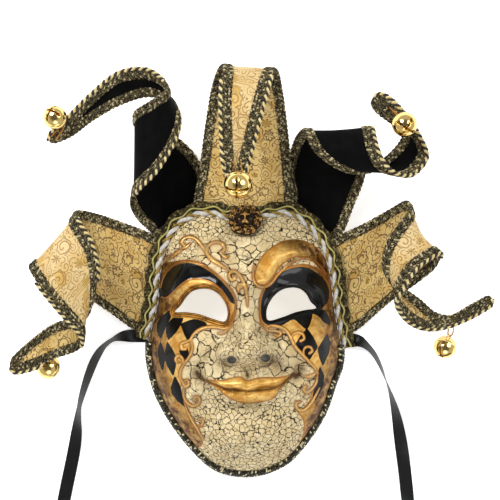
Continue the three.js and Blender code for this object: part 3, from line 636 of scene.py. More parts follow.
@dataclass
class FaceForm:
    """The hollow shell's shape: a dome over the outline that carries swellings and ridges."""

    wall: float = 3.2
    dome_height: float = 66.0
    roundness: float = 2.3
    rim_low: float = 9.0
    rim_high: float = 29.0
    rim_rise_from: float = -5.0
    rim_rise_length: float = 110.0
    cheek_steepness: float = 0.62
    brow_steepness: float = 0.82
    reach: float = 0.78
    fade: float = 0.17
    inner_share: float = 0.75
    trace_level: float = 60.0
    trace_rounds: int = 4
    lens: Lens = field(default_factory=Lens)

    def __post_init__(self) -> None:
        """Prepare the outline and the table that finds it from a direction."""
        self.outline = Spline(at_height(OUTLINE, 0.0), closed=True)
        point, _ = self.station(np.arange(2400) / 2400)
        angle = np.arctan2(point[:, 1], point[:, 0])
        order = np.argsort(angle)
        self.table = (angle[order], np.hypot(point[:, 0], point[:, 1])[order])

    def station(self, fraction: Array) -> tuple[Array, Array]:
        """Points of the outline and its outward directions, both flat (z = 0)."""
        t = self.outline.share_at(np.mod(fraction, 1.0))
        point, along = self.outline.point(t), self.outline.tangent(t)
        return point, np.stack([-along[..., 1], along[..., 0], np.zeros(along.shape[:-1])], axis=-1)

    def radius(self, x: Array, y: Array) -> Array:
        """Distance from the middle to the outline in the direction of a place."""
        return np.interp(np.arctan2(y, x), *self.table, period=2 * np.pi)

    def fraction_nearest(self, place: tuple) -> float:
        """Fraction of the outline's length at which it is nearest to a place."""
        fractions = np.arange(1600) / 1600
        point, _ = self.station(fractions)
        return float(fractions[np.argmin(np.hypot(point[:, 0] - place[0], point[:, 1] - place[1]))])

    def rim(self, y: Array) -> Array:
        """Height of the rim, which rises from the jaw to the brow."""
        rise = smoothstep((y - self.rim_rise_from) / self.rim_rise_length)
        return self.rim_low + (self.rim_high - self.rim_low) * rise

    def features(self, x: Array, y: Array) -> Array:
        """Height of the features over the dome: swellings exp(-(a^2 + b^2)), ridges exp(-(d / width)^2)."""
        height = np.zeros(x.shape)
        for cx, cy, half_a, half_b, turn, rise in SWELLS.values():
            c, s = math.cos(math.radians(turn)), math.sin(math.radians(turn))
            a = ((x - cx) * c + (y - cy) * s) / half_a
            b = ((y - cy) * c - (x - cx) * s) / half_b
            height += rise * np.exp(-(a * a + b * b))
        for rise, path in RIDGES.values():
            strongest = np.zeros(x.shape)
            for segment in zip(path[:-1], path[1:]):
                d, width = line_distance(x, y, np.array(segment, float))
                strongest = np.maximum(strongest, np.exp(-((d / width) ** 2)))
            height += rise * strongest
        return height

    def dome(self, rho: Array, x: Array, y: Array, low: Array, high: float) -> Array:
        """Plain dome: low + (high - low) (1 - rho^roundness)^steepness, steepest at cheeks and chin."""
        brow = smoothstep(y / np.maximum(np.hypot(x, y), 1e-9))
        steepness = self.cheek_steepness + (self.brow_steepness - self.cheek_steepness) * brow
        return low + (high - low) * np.clip(1 - rho**self.roundness, 0, 1) ** steepness

    def height(self, x: Array, y: Array) -> Array:
        """Height of the outer wall over any place inside the outline."""
        radius = self.radius(x, y)
        rho = np.clip(np.hypot(x, y) / radius, 0, 1)
        fade = 1 - smoothstep((rho - self.reach) / self.fade)
        low = self.rim(radius * np.sin(np.arctan2(y, x)))
        return self.dome(rho, x, y, low, self.dome_height) + fade * self.features(x, y)

    def trace(self, pixels: Pixels, smooth: int = 0, closed: bool = False) -> Array:
        """Carry a line drawn in pixels onto the face.

        Each ray starts at a level over the face, and its height is then read from the face again and
        again. Half widths in a third column, in pixels, become millimetres.

        Args:
            pixels: (count, 2) or (count, 3).
            smooth: points per span of a curve through the pixels, or 0 for straight spans.
            closed: whether the line closes on itself.

        Returns:
            (count, 3) x, y and half width in mm.
        """
        p = np.asarray(pixels, float)
        p = np.concatenate([p, np.ones((len(p), 1))], axis=1) if p.shape[1] == 2 else p
        if smooth:
            spans = len(p) if closed else len(p) - 1
            p = Spline(p, closed).point(np.linspace(0, 1, spans * smooth + 1)[: -1 if closed else None])
        z = np.full(len(p), self.trace_level)
        for _ in range(self.trace_rounds):
            q = self.lens.place(p, z)
            z = self.height(q[:, 0], q[:, 1])
        return np.stack([q[:, 0], q[:, 1], p[:, 2] * self.lens.pixel(z)], axis=-1)


# Painting on the face, in pixels of the camera's frame.
BLACK_AREAS = {
    "left_crescent": [
        (160.5, 296), (160, 290), (162, 283), (166, 277), (172, 269.5), (180, 265), (190, 264),
        (200, 267), (208, 271.5), (216, 277.5), (225, 286.5), (231, 294.5), (234, 303), (229.5, 299.5),
        (222, 288.5), (213, 281.5), (203, 278), (192, 277.5), (186, 279.5), (178, 285.5), (171, 292.5),
        (165, 296.5),
    ],
    "left_lozenge_1": [
        (169.5, 311.5), (170, 317), (165.5, 326), (160.5, 337.5), (157.5, 331), (158, 323), (163, 316),
    ],
    "left_lozenge_2": [
        (183, 314.5), (182, 320), (177.5, 329), (174, 333.5), (168.5, 339), (166.5, 332), (167.5, 325),
        (173, 319),
    ],
    "left_lozenge_3": [
        (200, 318.5), (206, 324.5), (199, 327), (192.5, 333), (187.5, 339), (184.5, 333), (181.5, 324.5),
        (190, 321),
    ],
    "left_lozenge_4": [(160.5, 343), (163.5, 351), (164, 361), (162.5, 369.5), (160, 362), (158.5, 352)],
    "left_lozenge_5": [
        (167.5, 343), (172, 350), (175.5, 357), (175, 366), (173, 374.5), (168, 366), (165.5, 358),
        (166, 350),
    ],
    "left_lozenge_6": [(180, 351), (187, 349.5), (188.5, 356), (185.5, 359), (181.5, 356)],
    "left_lozenge_7": [
        (175, 377.5), (179, 385), (181.5, 395), (185.5, 406.5), (178, 400.5), (172.5, 393.5),
        (171.5, 388),
    ],
    "right_eye": [
        (263.5, 320), (262, 307), (263.5, 296), (269, 285), (278, 276), (290, 270), (302, 268),
        (313, 271.5), (322, 279), (328, 290), (327.5, 300), (322.5, 306.5), (319.5, 309.5), (325, 312),
        (329.5, 323), (325, 322), (319, 315.5), (312, 313), (311, 318.5), (306.5, 328), (300, 323),
        (293.5, 318.5), (280, 325), (270, 325),
    ],
    "right_lozenge_3": [
        (307, 329.5), (313, 338), (317, 347), (309.5, 358.5), (305, 354.5), (302, 350.5), (296, 345),
        (300, 338),
    ],
    "right_lozenge_4": [
        (327, 335), (330, 343), (328.5, 352), (323, 364.5), (320, 357), (318.5, 349), (322, 343),
    ],
    "right_lozenge_5": [
        (320, 368), (323.5, 376), (322.5, 386), (315.5, 399.5), (313.5, 396), (316, 385), (318, 376),
    ],
}
GOLD_AREAS = {
    "left_cheek": [
        (140, 270), (158, 262), (168, 262), (180, 260.5), (190, 260), (201, 263), (211, 269),
        (221, 277.5), (230, 287), (235.5, 297), (236, 310), (233, 322), (228, 329), (219, 327),
        (209, 326.5), (200, 329), (194, 334), (190, 341), (191, 350), (188, 358), (183, 364), (180, 372),
        (182, 381), (181, 391), (184, 400), (188, 409), (193, 421), (199, 434), (203, 444), (190, 450),
        (150, 420), (130, 330),
    ],
    "right_cheek": [
        (262, 327), (259, 316), (259, 302), (263, 289), (272, 277), (284, 268.5), (294, 265), (305, 264),
        (315, 267), (323, 274), (329, 284), (333, 296), (345, 290), (365, 340), (350, 390), (325, 440),
        (296, 455), (303, 434), (303, 420), (297, 411), (303, 408), (309, 401), (311, 393), (316, 384),
        (316, 373), (312, 366), (305, 358), (297, 350), (291, 340), (287, 331), (280, 327),
    ],
    "lips": [
        (203, 379), (212, 379.8), (221, 380), (232, 377.4), (241, 376.4), (247.3, 380), (253.5, 378.5),
        (261.6, 377), (277, 377), (288, 375), (295, 371.5), (290, 379), (283, 386), (278, 392),
        (277, 395.3), (269.8, 400.4), (259.6, 402.4), (245.3, 403.5), (233, 400.4), (224, 395),
        (219, 390), (211, 385),
    ],
}
BROW = [(264, 276, 10), (268, 266, 10.5), (277, 256, 10.5), (290, 249, 9.5), (303, 249, 8.5), (314, 254, 7),
        (322, 264, 5.5), (328, 276, 3.5), (331, 290, 1)]
# Raised lines with their half widths in pixels.
SCROLLS = {
    "brow_roll": [
        (254, 266, .8), (253.2, 276, 1.4), (255, 283, 1.5), (260, 287, 1.5), (267, 286.5, 1.4),
        (273, 281.5, 1.4), (278, 275, 1.3), (284, 269, 1.3), (290, 263.5, 1.2), (297, 259.5, 1.2),
        (305, 258, 1.2), (313, 260, 1.1), (320, 265.5, 1), (326, 273.5, .8),
    ],
    "bridge": [
        (247.5, 306, .8), (247, 298, 1.5), (246, 290, 1.8), (243.5, 282, 1.8), (239.5, 275, 1.7),
        (235, 271.5, 1.6), (230.5, 272, 1.6), (229, 276.5, 1.6), (232, 280, 2), (235, 277.5, 2),
    ],
    "bridge_leaf": [(245, 288, .9), (240.5, 284.5, 1.8), (238.3, 288, 2.2), (238.6, 292, 1)],
    "bridge_bud": [(246.5, 286, .8), (243.5, 284.5, 1.9), (241, 287.5, 1.6)],
    "stem": [
        (229, 270, 1), (220, 264.5, 2), (212.7, 259.8, 2.2), (207.3, 254, 2), (207, 248, 1.7),
        (211, 243.6, 1.6), (218, 242.2, 1.6), (223.4, 244.5, 1.7), (224.2, 249.8, 1.7),
        (220.8, 252.5, 1.8),
    ],
    "stem_bud": [(221, 253, 1.2), (224.9, 256.7, 1.9), (228, 257, 1)],
    "arc": [
        (206.5, 253, 1), (202, 246, 1.7), (195.8, 239, 1.7), (189.7, 236.8, 1.6), (183.6, 238.4, 1.4),
        (181, 242.5, 1.8), (184.5, 245.5, 2),
    ],
    "temple_1": [(190, 243, .8), (186.6, 246.5, 1.8), (181, 249, 1.2)],
    "temple_2": [(182, 249, .8), (175.9, 253.7, 2), (170, 258, 1.2)],
    "temple_3": [(171, 255, .8), (165, 260, 2), (160.5, 267, 1)],
    "left_eye_line": [
        (160.5, 288, .7), (162.5, 279.5, .9), (169, 269, .9), (179, 262.5, .9), (190, 261.3, .9),
        (201, 264.5, .9), (211, 270.3, .9), (221, 278.8, .9), (230, 288.5, .9), (235, 298, .9),
        (235.3, 310, .9), (232.5, 321, .9), (229, 328, 1.1), (223, 333, 1.2), (218.5, 333.5, 1),
    ],
    "left_crescent_line": [
        (160.8, 297, .8), (165.5, 298, .9), (171.5, 294, .9), (178.5, 287, .9), (186.4, 281, .9),
        (192, 279, .9), (203, 279.5, .9), (212.5, 283, .9), (221, 289.8, .9), (228, 300, .9),
        (231, 311, .9), (229.5, 321, .9),
    ],
    "left_cheek": [
        (231, 326, 1), (224, 328.5, 1.5), (215, 327, 1.7), (206, 327.3, 1.7), (198.5, 330, 1.6),
        (193, 335, 1.5), (189.8, 340, 1.3), (186, 341.8, 1.5), (181.5, 344, 1.9), (181.8, 348.5, 2.1),
        (185.5, 349, 1.8),
    ],
    "left_cheek_2": [
        (190.5, 340, .9), (192.3, 346, 1.3), (191, 353, 1.5), (187, 360, 1.5), (183.5, 362.8, 1.4),
        (182.5, 358.5, 1.6), (179, 355.5, 1.7), (175.8, 358, 1.7), (176.5, 362, 1.5), (179.5, 362.5, 1),
    ],
    "left_cheek_3": [
        (185.5, 362, .9), (181, 369, 1.4), (180, 376, 1.4), (182.5, 382, 1.5), (185.5, 386.7, 1.8),
        (188.7, 384, 1.7), (187, 380.3, 1.5), (183.7, 381, 1),
    ],
    "left_cheek_4": [
        (184, 389, .9), (183.5, 396, 1.3), (188, 403.5, 1.7), (193.5, 406, 1.7), (198.5, 403.5, 1.6),
        (199.2, 398, 1.5), (195.5, 396.8, 1.5), (193.5, 400, 1.3),
    ],
    "left_jaw": [(184, 401, .8), (187, 410, 1.3), (192.5, 421, 1.6), (198, 430, 1.5), (202.5, 438, 1)],
    "left_jaw_curl": [(196.5, 427, .9), (202, 424.5, 1.5), (202.5, 419.8, 1.5), (198.8, 419, 1.4)],
    "right_eye_line": [
        (268, 327.5, 1.1), (263.5, 324.5, 1), (260.8, 317, .9), (260, 306, .9), (262, 294, .9),
        (267, 284, .9), (276, 275.3, .9), (286, 269.3, .9), (297, 266.2, .9), (308, 266.6, .9),
        (317.5, 270.5, .9), (325, 278.5, .9), (330, 289, .8), (330.5, 300, .8), (323, 308, .8),
    ],
    "right_loop": [
        (264.5, 328, 1), (269, 330.5, 1.4), (275, 331, 1.4), (281, 333, 1.5), (278.5, 336, 1.4),
        (274.5, 334.5, 1),
    ],
    "right_cheek": [
        (265, 327.5, 1), (271, 325.7, 1.4), (279, 326.8, 1.7), (286, 330.2, 1.8), (290.5, 337, 1.8),
        (294.5, 345.5, 1.8), (300.5, 352.5, 1.8), (307.5, 360, 1.8), (314, 367, 1.7), (318, 373.5, 1.2),
    ],
    "right_curl_1": [
        (291, 338.5, 1), (293.6, 334, 1.4), (298.5, 332.3, 1.5), (303, 334.5, 1.5), (304, 339, 1.5),
        (300.7, 341, 1.7),
    ],
    "right_curl_2": [
        (304.5, 357, 1), (303.5, 351, 1.3), (306, 347.2, 1.4), (310.5, 347.3, 1.5), (312.3, 351.2, 1.5),
        (309.5, 353.3, 1.7),
    ],
    "right_bud": [(317, 372, 1), (311.5, 376.5, 2), (305.5, 376.5, 1.2)],
    "right_curl_3": [
        (317.5, 374, 1), (316.5, 382, 1.5), (312, 389, 1.7), (306.5, 392.3, 1.7), (303.5, 389, 1.5),
        (306, 386.3, 1.4),
    ],
    "right_curl_4": [
        (319.5, 388, 1), (315, 396.5, 1.6), (309.5, 405, 1.8), (303, 410.3, 1.8), (297.5, 409, 1.7),
        (296.3, 403.5, 1.6), (299.5, 401.5, 1.4),
    ],
}
# Painted shade and antique dirt: dark blots at the mouth's corners, round the nostrils and nose and along
# the temples and jaw; place in pixels, radius in mm and strength.
SHADOWS = [
    ((199, 376), 5, 1.0), ((300, 371), 5.5, 1.0), ((205, 383), 5, .5), ((295, 377), 5, .6),
    ((248, 375), 3.5, .9), ((284, 370), 6, .5), ((274, 360), 4.5, .5), ((221, 359), 4, .35),
    ((231, 361), 5, .6), ((264, 359), 6.5, .9), ((222, 366), 7, .4), ((278, 364), 7, .5),
    ((240, 300), 6, .35), ((262, 332), 6, .35), ((236, 338), 8, .25), ((270, 345), 9, .3),
    ((160, 355), 9, .6), ((158, 300), 7, .7), ((168, 262), 8, .55), ((164, 385), 7, .6),
    ((175, 420), 9, .7), ((325, 420), 10, .7), ((336, 320), 6, .6), ((333, 372), 6, .5),
    ((250, 290), 5, .4), ((248, 410), 12, .3), ((225, 236), 9, .35), ((200, 400), 5, .35),
]
# Painted shade along creases (the mouth, its corners, the nose wings and the philtrum), with half widths in
# pixels.
CREASES = {
    "mouth": [
        (207, 380.5, .5), (214, 384, .7), (221, 387, .8), (227, 389.3, 1.3), (236, 390, 1.2),
        (243, 390.6, .9), (251, 391, .6), (262, 390, .7), (273, 388.3, .7), (283, 383.5, .6),
        (291, 375.5, .7),
    ],
    "mouth_gap": [(224, 389.3, .8), (230, 389.6, 1.8), (236, 390, 1.9), (241, 390.8, .9)],
    "left_corner": [(196.5, 371.5, 1), (199.5, 376, 2.1), (204, 379.5, 1)],
    "right_corner": [(292, 374.5, 1), (296, 376.5, 1.9), (299.5, 373, .9)],
    "left_wing": [(223, 362, .1), (226, 365.5, .4), (232, 366.5, .1)],
    "right_wing": [(272.5, 356, .1), (272, 362, .5), (267, 366, .6), (260, 366.5, .2)],
    "philtrum": [(246.5, 371, .5), (247.5, 375, 1.1)],
}


@dataclass
class FacePainting:
    """What is painted and raised on the face, as distances in mm from its shapes."""

    form: FaceForm
    bead_rise: float = 1.2
    bead_margin: float = 5.0
    area_margin: float = 9.0
    eye_margin: float = 22.0
    eye_far: float = 40.0
    brow_rise: float = 1.3
    rim_roll: float = 1.2
    rim_width: float = 1.7
    eye_rolls: tuple = (("left", 1.25), ("right", 0.8))
    roll_middle: float = 2.4
    roll_half: float = 2.6

    def __post_init__(self) -> None:
        """Carry every drawn shape onto the face once."""
        form = self.form
        self.black = [form.trace(p, 0 if "lozenge" in key else 4, closed=True)
                      for key, p in BLACK_AREAS.items()]
        self.creases = [form.trace(p, 4) for p in CREASES.values()]
        self.gold = [form.trace(p, 4, closed=True) for p in GOLD_AREAS.values()]
        self.brow = form.trace(BROW, 6)
        self.scrolls = [form.trace(p, 5) for p in SCROLLS.values()]
        self.eyes = {k: Spline(at_height(v, 0.0), True).point(np.arange(96) / 96) for k, v in EYES.items()}

    def near(self, x: Array, y: Array, shape: Array, margin: float) -> Array:
        """Which places lie within a margin of a shape's bounding box."""
        low, high = shape[:, :2].min(0) - margin, shape[:, :2].max(0) + margin
        return (x > low[0]) & (x < high[0]) & (y > low[1]) & (y < high[1])

    def areas(self, x: Array, y: Array, shapes: Sequence[Array]) -> Array:
        """Largest signed distance into any of several areas, no less than minus the margin."""
        best = np.full(x.shape, -self.area_margin)
        for shape in shapes:
            close = self.near(x, y, shape, self.area_margin)
            best[close] = np.maximum(best[close], area_distance(x[close], y[close], shape))
        return best

    def beads(self, x: Array, y: Array, shapes: Sequence[Array]) -> tuple[Array, Array]:
        """Depth into the widest raised line, and the height of the lines, a hump across each."""
        depth = np.full(x.shape, -self.bead_margin)
        rise = np.zeros(x.shape)
        for shape in shapes:
            close = self.near(x, y, shape, self.bead_margin)
            d, width = line_distance(x[close], y[close], shape)
            depth[close] = np.maximum(depth[close], width - d)
            bead = hump(d / width) * np.minimum(width / 1.5, 1)
            rise[close] = np.maximum(rise[close], bead)
        return depth, rise

    def eye_distance(self, x: Array, y: Array, side: str) -> Array:
        """Distance from an eye opening's edge in mm, positive outside it and constant far away."""
        distance = np.full(x.shape, self.eye_far)
        close = self.near(x, y, self.eyes[side], self.eye_margin)
        distance[close] = -area_distance(x[close], y[close], self.eyes[side])
        return distance

    def relief(self, x: Array, y: Array) -> Array:
        """Raised scrolls, the bands round the eyes, their rounded edges and the brow's crown, in mm."""
        _, rise = self.beads(x, y, self.scrolls)
        height = self.bead_rise * rise
        d, width = line_distance(x, y, self.brow)
        height += self.brow_rise * np.sqrt(np.clip(1 - (d / np.maximum(width, 0.5)) ** 2, 0, 1))
        for side, rolled in self.eye_rolls:
            d = self.eye_distance(x, y, side)
            height += rolled * hump((d - self.roll_middle) / self.roll_half)
            height -= self.rim_roll * np.clip(1 - d / self.rim_width, 0, 1) ** 2
        return height

    def values(self, x: Array, y: Array) -> dict:
        """Numbers at each point of the face for its material to read.

        Args:
            x, y: places in mm.

        Returns:
            gold, black, bead, crease shade and the eyes: signed distances in mm; painted shade with antique
            dirt, fine and edge: shares.
        """
        bead, _ = self.beads(x, y, self.scrolls)
        d, width = line_distance(x, y, self.brow)
        gold = np.maximum(self.areas(x, y, self.gold), width - d)
        black = self.areas(x, y, self.black)
        left, right = (self.eye_distance(x, y, side) for side in ("left", "right"))
        crease, _ = self.beads(x, y, self.creases)
        dirt = np.zeros(x.shape)
        # Painted shade and antique dirt: soft dark blots round the mouth, nostrils and nose and along the
        # temples and jaw.
        for place, radius, strength in SHADOWS:
            cx, cy, _ = self.form.trace([place])[0]
            dirt += strength * np.exp(-((x - cx) ** 2 + (y - cy) ** 2) / radius**2)
        rho = np.hypot(x, y) / self.form.radius(x, y)
        # The small crackle lies on the nose, along the jaw and on the crown.
        nose = np.exp(-((x / 24) ** 2 + ((y + 2) / 24) ** 2) ** 2)
        cheeks = np.exp(-(((np.abs(x) - 44) / 12) ** 2 + ((y + 30) / 16) ** 2))
        jaw = smoothstep((-24 - y) / 12) * (1 - cheeks)
        temples = smoothstep((np.abs(x + 4) - 34) / 12) * smoothstep((y - 62) / 12)
        crown = smoothstep((y - 88) / 14) + temples
        return {
            "gold": gold, "black": black, "bead": bead, "left_eye": left, "right_eye": right,
            "crease": crease, "dirt": np.clip(dirt, 0, 1),
            "fine": np.clip(np.maximum.reduce([nose, jaw, crown]), 0, 1),
            "edge": smoothstep((rho - 0.7) / 0.22),
        }


@dataclass
class FaceShell:
    """The papier mache face: outer and inner wall with the eye openings and the nostrils cut through."""

    painting: FacePainting
    stations: int = 480
    outer_rings: int = 120
    edge_rings: int = 24
    inner_rings: int = 26
    eye_cut: tuple = (10.0, 106.0)
    nostril_shape: tuple = (1.05, 0.95)
    nostril_reach: float = 9.0
    nostril_slant: float = 1.25
    nostril_radius: float = 3.7
    nostril_depth: float = 2.0
    nostril_hole: float = 1.6
    lowest: float = 0.4
    inside_from: float = 1.6
    inside_over: float = 0.8

    def grid(self) -> Array:
        """One closed grid: pole, outer rings, edge, inner rings, pole.

        Outer point = station * rho at the dome with its features and relief; the inner wall lies one
        wall thickness inside it.
        """
        form = self.painting.form
        fraction = np.linspace(0, 1, self.stations + 1)
        point, outward = form.station(fraction)
        rho = np.concatenate([np.linspace(0.006, 0.93, self.outer_rings),
                              1 - 0.07 * np.cos(np.linspace(0, np.pi / 2, self.edge_rings + 1))[1:]])
        x, y = point[:, 0] * rho[:, None], point[:, 1] * rho[:, None]
        z = form.height(x.ravel(), y.ravel()) + self.painting.relief(x.ravel(), y.ravel())
        z = np.maximum(z.reshape(x.shape), self.lowest)
        rim = form.rim(point[:, 1])
        z[-1] = rim
        rows = [np.stack([x, y, z], -1)]
        drop = np.linspace(1, 0, 8)[1:, None] * rim
        rows.append(np.stack(np.broadcast_arrays(point[:, 0], point[:, 1], drop), -1))
        edge = point - outward * form.wall
        climb = np.linspace(0, 1, 6)[:, None] * (rim - form.wall / 2)
        rows.append(np.stack(np.broadcast_arrays(edge[:, 0], edge[:, 1], climb), -1))
        inner = np.sin(np.linspace(np.pi / 2, 0.02, self.inner_rings))[1:, None]
        x, y = edge[:, 0] * inner, edge[:, 1] * inner
        low = rim - form.wall / 2
        fade = 1 - smoothstep((inner - form.reach) / form.fade)
        rise = form.features(x.ravel(), y.ravel()).reshape(x.shape)
        rise = np.minimum(rise, 0) + form.inner_share * np.maximum(rise, 0)
        z = form.dome(inner, point[:, 0], point[:, 1], low, form.dome_height - form.wall) + fade * rise
        rows.append(np.stack([x, y, z], -1))
        return poled(np.concatenate(rows))

    def nostril(self, side: str, place: tuple) -> list:
        """Tools for one nostril: a round hollow and a narrower hole that slants from it into the nose."""
        form, middle = self.painting.form, np.array(place)
        edge = circle(1.0, 36) * np.array(self.nostril_shape)
        hollow, through = edge * self.nostril_radius + middle, edge * self.nostril_hole + middle
        z = form.height(hollow[:, 0], hollow[:, 1])
        level = float(form.height(middle[:1], middle[1:])[0])
        ends = [at_height(hollow, z + rise) for rise in (-self.nostril_depth, self.nostril_reach)]
        slant = [at_height(through - [0, drop * self.nostril_slant], level + drop)
                 for drop in (-self.nostril_reach, self.nostril_reach)]
        return [prism("hollow_" + side, *ends), prism("nostril_" + side, *slant)]

    def mark(self, mesh: Mesh) -> None:
        """Write what is painted on the face, its inside and the painted shade of its nostril hollows to its
        points.
        """
        points = np.empty(len(mesh.vertices) * 3, np.float32)
        mesh.vertices.foreach_get("co", points)
        points = points.reshape(-1, 3).astype(float) / MM - world_shift()
        x, y = points[:, 0], points[:, 1]
        values = self.painting.values(x, y)
        depth = self.painting.form.height(x, y) + self.painting.relief(x, y) - points[:, 2]
        values["inside"] = smoothstep((depth - self.inside_from) / self.inside_over)
        # The nostril hollows get painted shade: a dark grey for their depth.
        long, short = self.nostril_shape
        gap = [np.hypot((x - cx) / long, (y - cy) / short) for cx, cy in NOSTRILS.values()]
        values["pit"] = 1 - smoothstep((np.minimum(*gap) - self.nostril_radius - 0.05) / 0.5)
        for key, numbers in values.items():
            write_values(mesh, key, numbers)

    def make(self, paint: Material) -> Piece:
        """Build the shell, cut its eyes straight down and its nostrils, and mark its paint."""
        grid = self.grid()
        piece = make_piece("painted_face", [skin(grid, grid[..., :2])], [paint], ["face_shell"])
        tools = [prism("eye_" + side, *(at_height(loop, z) for z in self.eye_cut))
                 for side, loop in self.painting.eyes.items()]
        for side, place in NOSTRILS.items():
            tools += self.nostril(side, place)
        for tool in tools:
            cut_away(piece, tool)
        self.mark(piece.data)
        return piece


def cut_away(piece: Piece, tool: Piece) -> None:
    """Take a closed tool away from a piece's mesh and remove the tool."""
    cut = piece.modifiers.new("cut", "BOOLEAN")
    cut.operation = "DIFFERENCE"
    cut.solver = "MANIFOLD"
    cut.object = tool
    shape = piece.evaluated_get(bpy.context.evaluated_depsgraph_get())
    result = bpy.data.meshes.new_from_object(shape)
    piece.modifiers.clear()
    old = piece.data
    name = old.name
    piece.data = result
    bpy.data.meshes.remove(old)
    result.name = name
    bpy.data.objects.remove(tool)
    result.polygons.foreach_set("use_smooth", np.ones(len(result.polygons), bool))


class Cloth(enum.Enum):
    """The two cloths of the horns."""

    BROCADE = "gold_brocade"
    VELVET = "black_velvet"


# Horns: x, y, z of a strip's first edge and of its second one, from the face to the tip.
HORN_LINES = {
    "centre": [
        (-46, 108, 22.5, 40, 108, 22.5), (-48, 127, 23, 42, 127, 23), (-43, 156, 28, 40, 156, 28),
        (-36, 201, 43, 35, 201, 43), (-31, 226, 58, 31, 225, 58), (-25, 240, 76, 27, 238, 76),
        (-20, 240, 93, 22, 236, 93), (-21, 216, 105, 14, 209, 105), (-20.5, 182, 104, 6.5, 180, 104),
        (-18, 154, 98, -1, 154, 98), (-13, 146, 95, -6, 147, 95),
    ],
    "upper_left": [
        (-24, 105, 16, -70, 83, 15.5), (-34, 129, 16.5, -88, 102, 16), (-43, 166, 18.5, -98, 112, 20),
        (-67, 190, 27, -103, 122, 30), (-94, 199, 42, -101, 130, 44), (-97, 206, 60, -95, 138, 60),
        (-82, 215, 69, -76, 157, 69), (-71, 225, 60, -60, 189, 64), (-74, 235, 47, -64, 212, 43),
        (-89, 245, 40, -86, 222, 34), (-113, 242, 42, -111, 215, 37), (-138, 221, 49, -135, 200, 46),
        (-160, 197, 56, -155, 184, 54), (-174, 184, 59, -171, 177, 59),
    ],
    "upper_right": [
        (30, 116, 16, 72, 84, 15.5), (39, 133, 16.5, 87, 101, 16), (36, 160, 18.5, 96, 124, 20.5),
        (43, 185, 32, 105, 150, 32), (49, 191, 50, 106, 182, 50), (50, 187, 62, 108, 192, 62),
        (60, 168, 71, 110, 178, 74), (79, 156, 66, 115, 163, 77), (98, 154, 51, 125, 153, 72),
        (119, 165, 44, 143, 151, 61), (133, 179, 48, 156, 166, 61), (136, 188, 55, 149, 184, 67),
        (125, 196, 60, 135, 203, 71), (112, 205, 63, 124, 215, 70), (105, 214, 66, 114, 222, 67),
    ],
    "side_left": [
        (-62, 85, 20, -80, 6, 3.2), (-84, 99, 20.5, -101, 11, 3.4), (-110, 109.5, 21.5, -124, 27, 6.5),
        (-135, 118, 27, -152, 47, 18), (-150, 120, 42, -181, 66, 36), (-148, 111, 57, -190, 70, 56),
        (-135, 91, 64, -179, 53, 64), (-130, 64, 62, -163, 33, 62), (-138, 37, 51, -145, 9, 51),
        (-153, 26, 40, -150, -3, 38), (-172, 20, 36, -170, -11, 34), (-193, 5, 37, -191, -20, 35),
        (-212, -13, 40, -209, -24, 39),
    ],
    "side_right": [
        (62, 84, 20, 76, 3, 3.2), (80, 97, 20.5, 99, 11, 3.4), (103, 108, 21.5, 117, 26, 6.5),
        (128, 122, 28, 134, 42, 18), (141, 129, 42, 148, 53, 32), (143, 122, 55, 166, 70, 48),
        (133, 110, 64, 168, 83, 63), (119, 88, 67, 146, 70, 71), (119, 69, 60, 134, 51, 68),
        (131, 57, 49, 130, 41, 62), (153, 42, 40, 141, 24, 49), (168, 30, 38, 158, 16, 41),
        (181, 28, 40, 176, 17, 38), (197, 37, 43, 196, 25, 41), (215, 47, 46, 218, 38, 46),
    ],
}


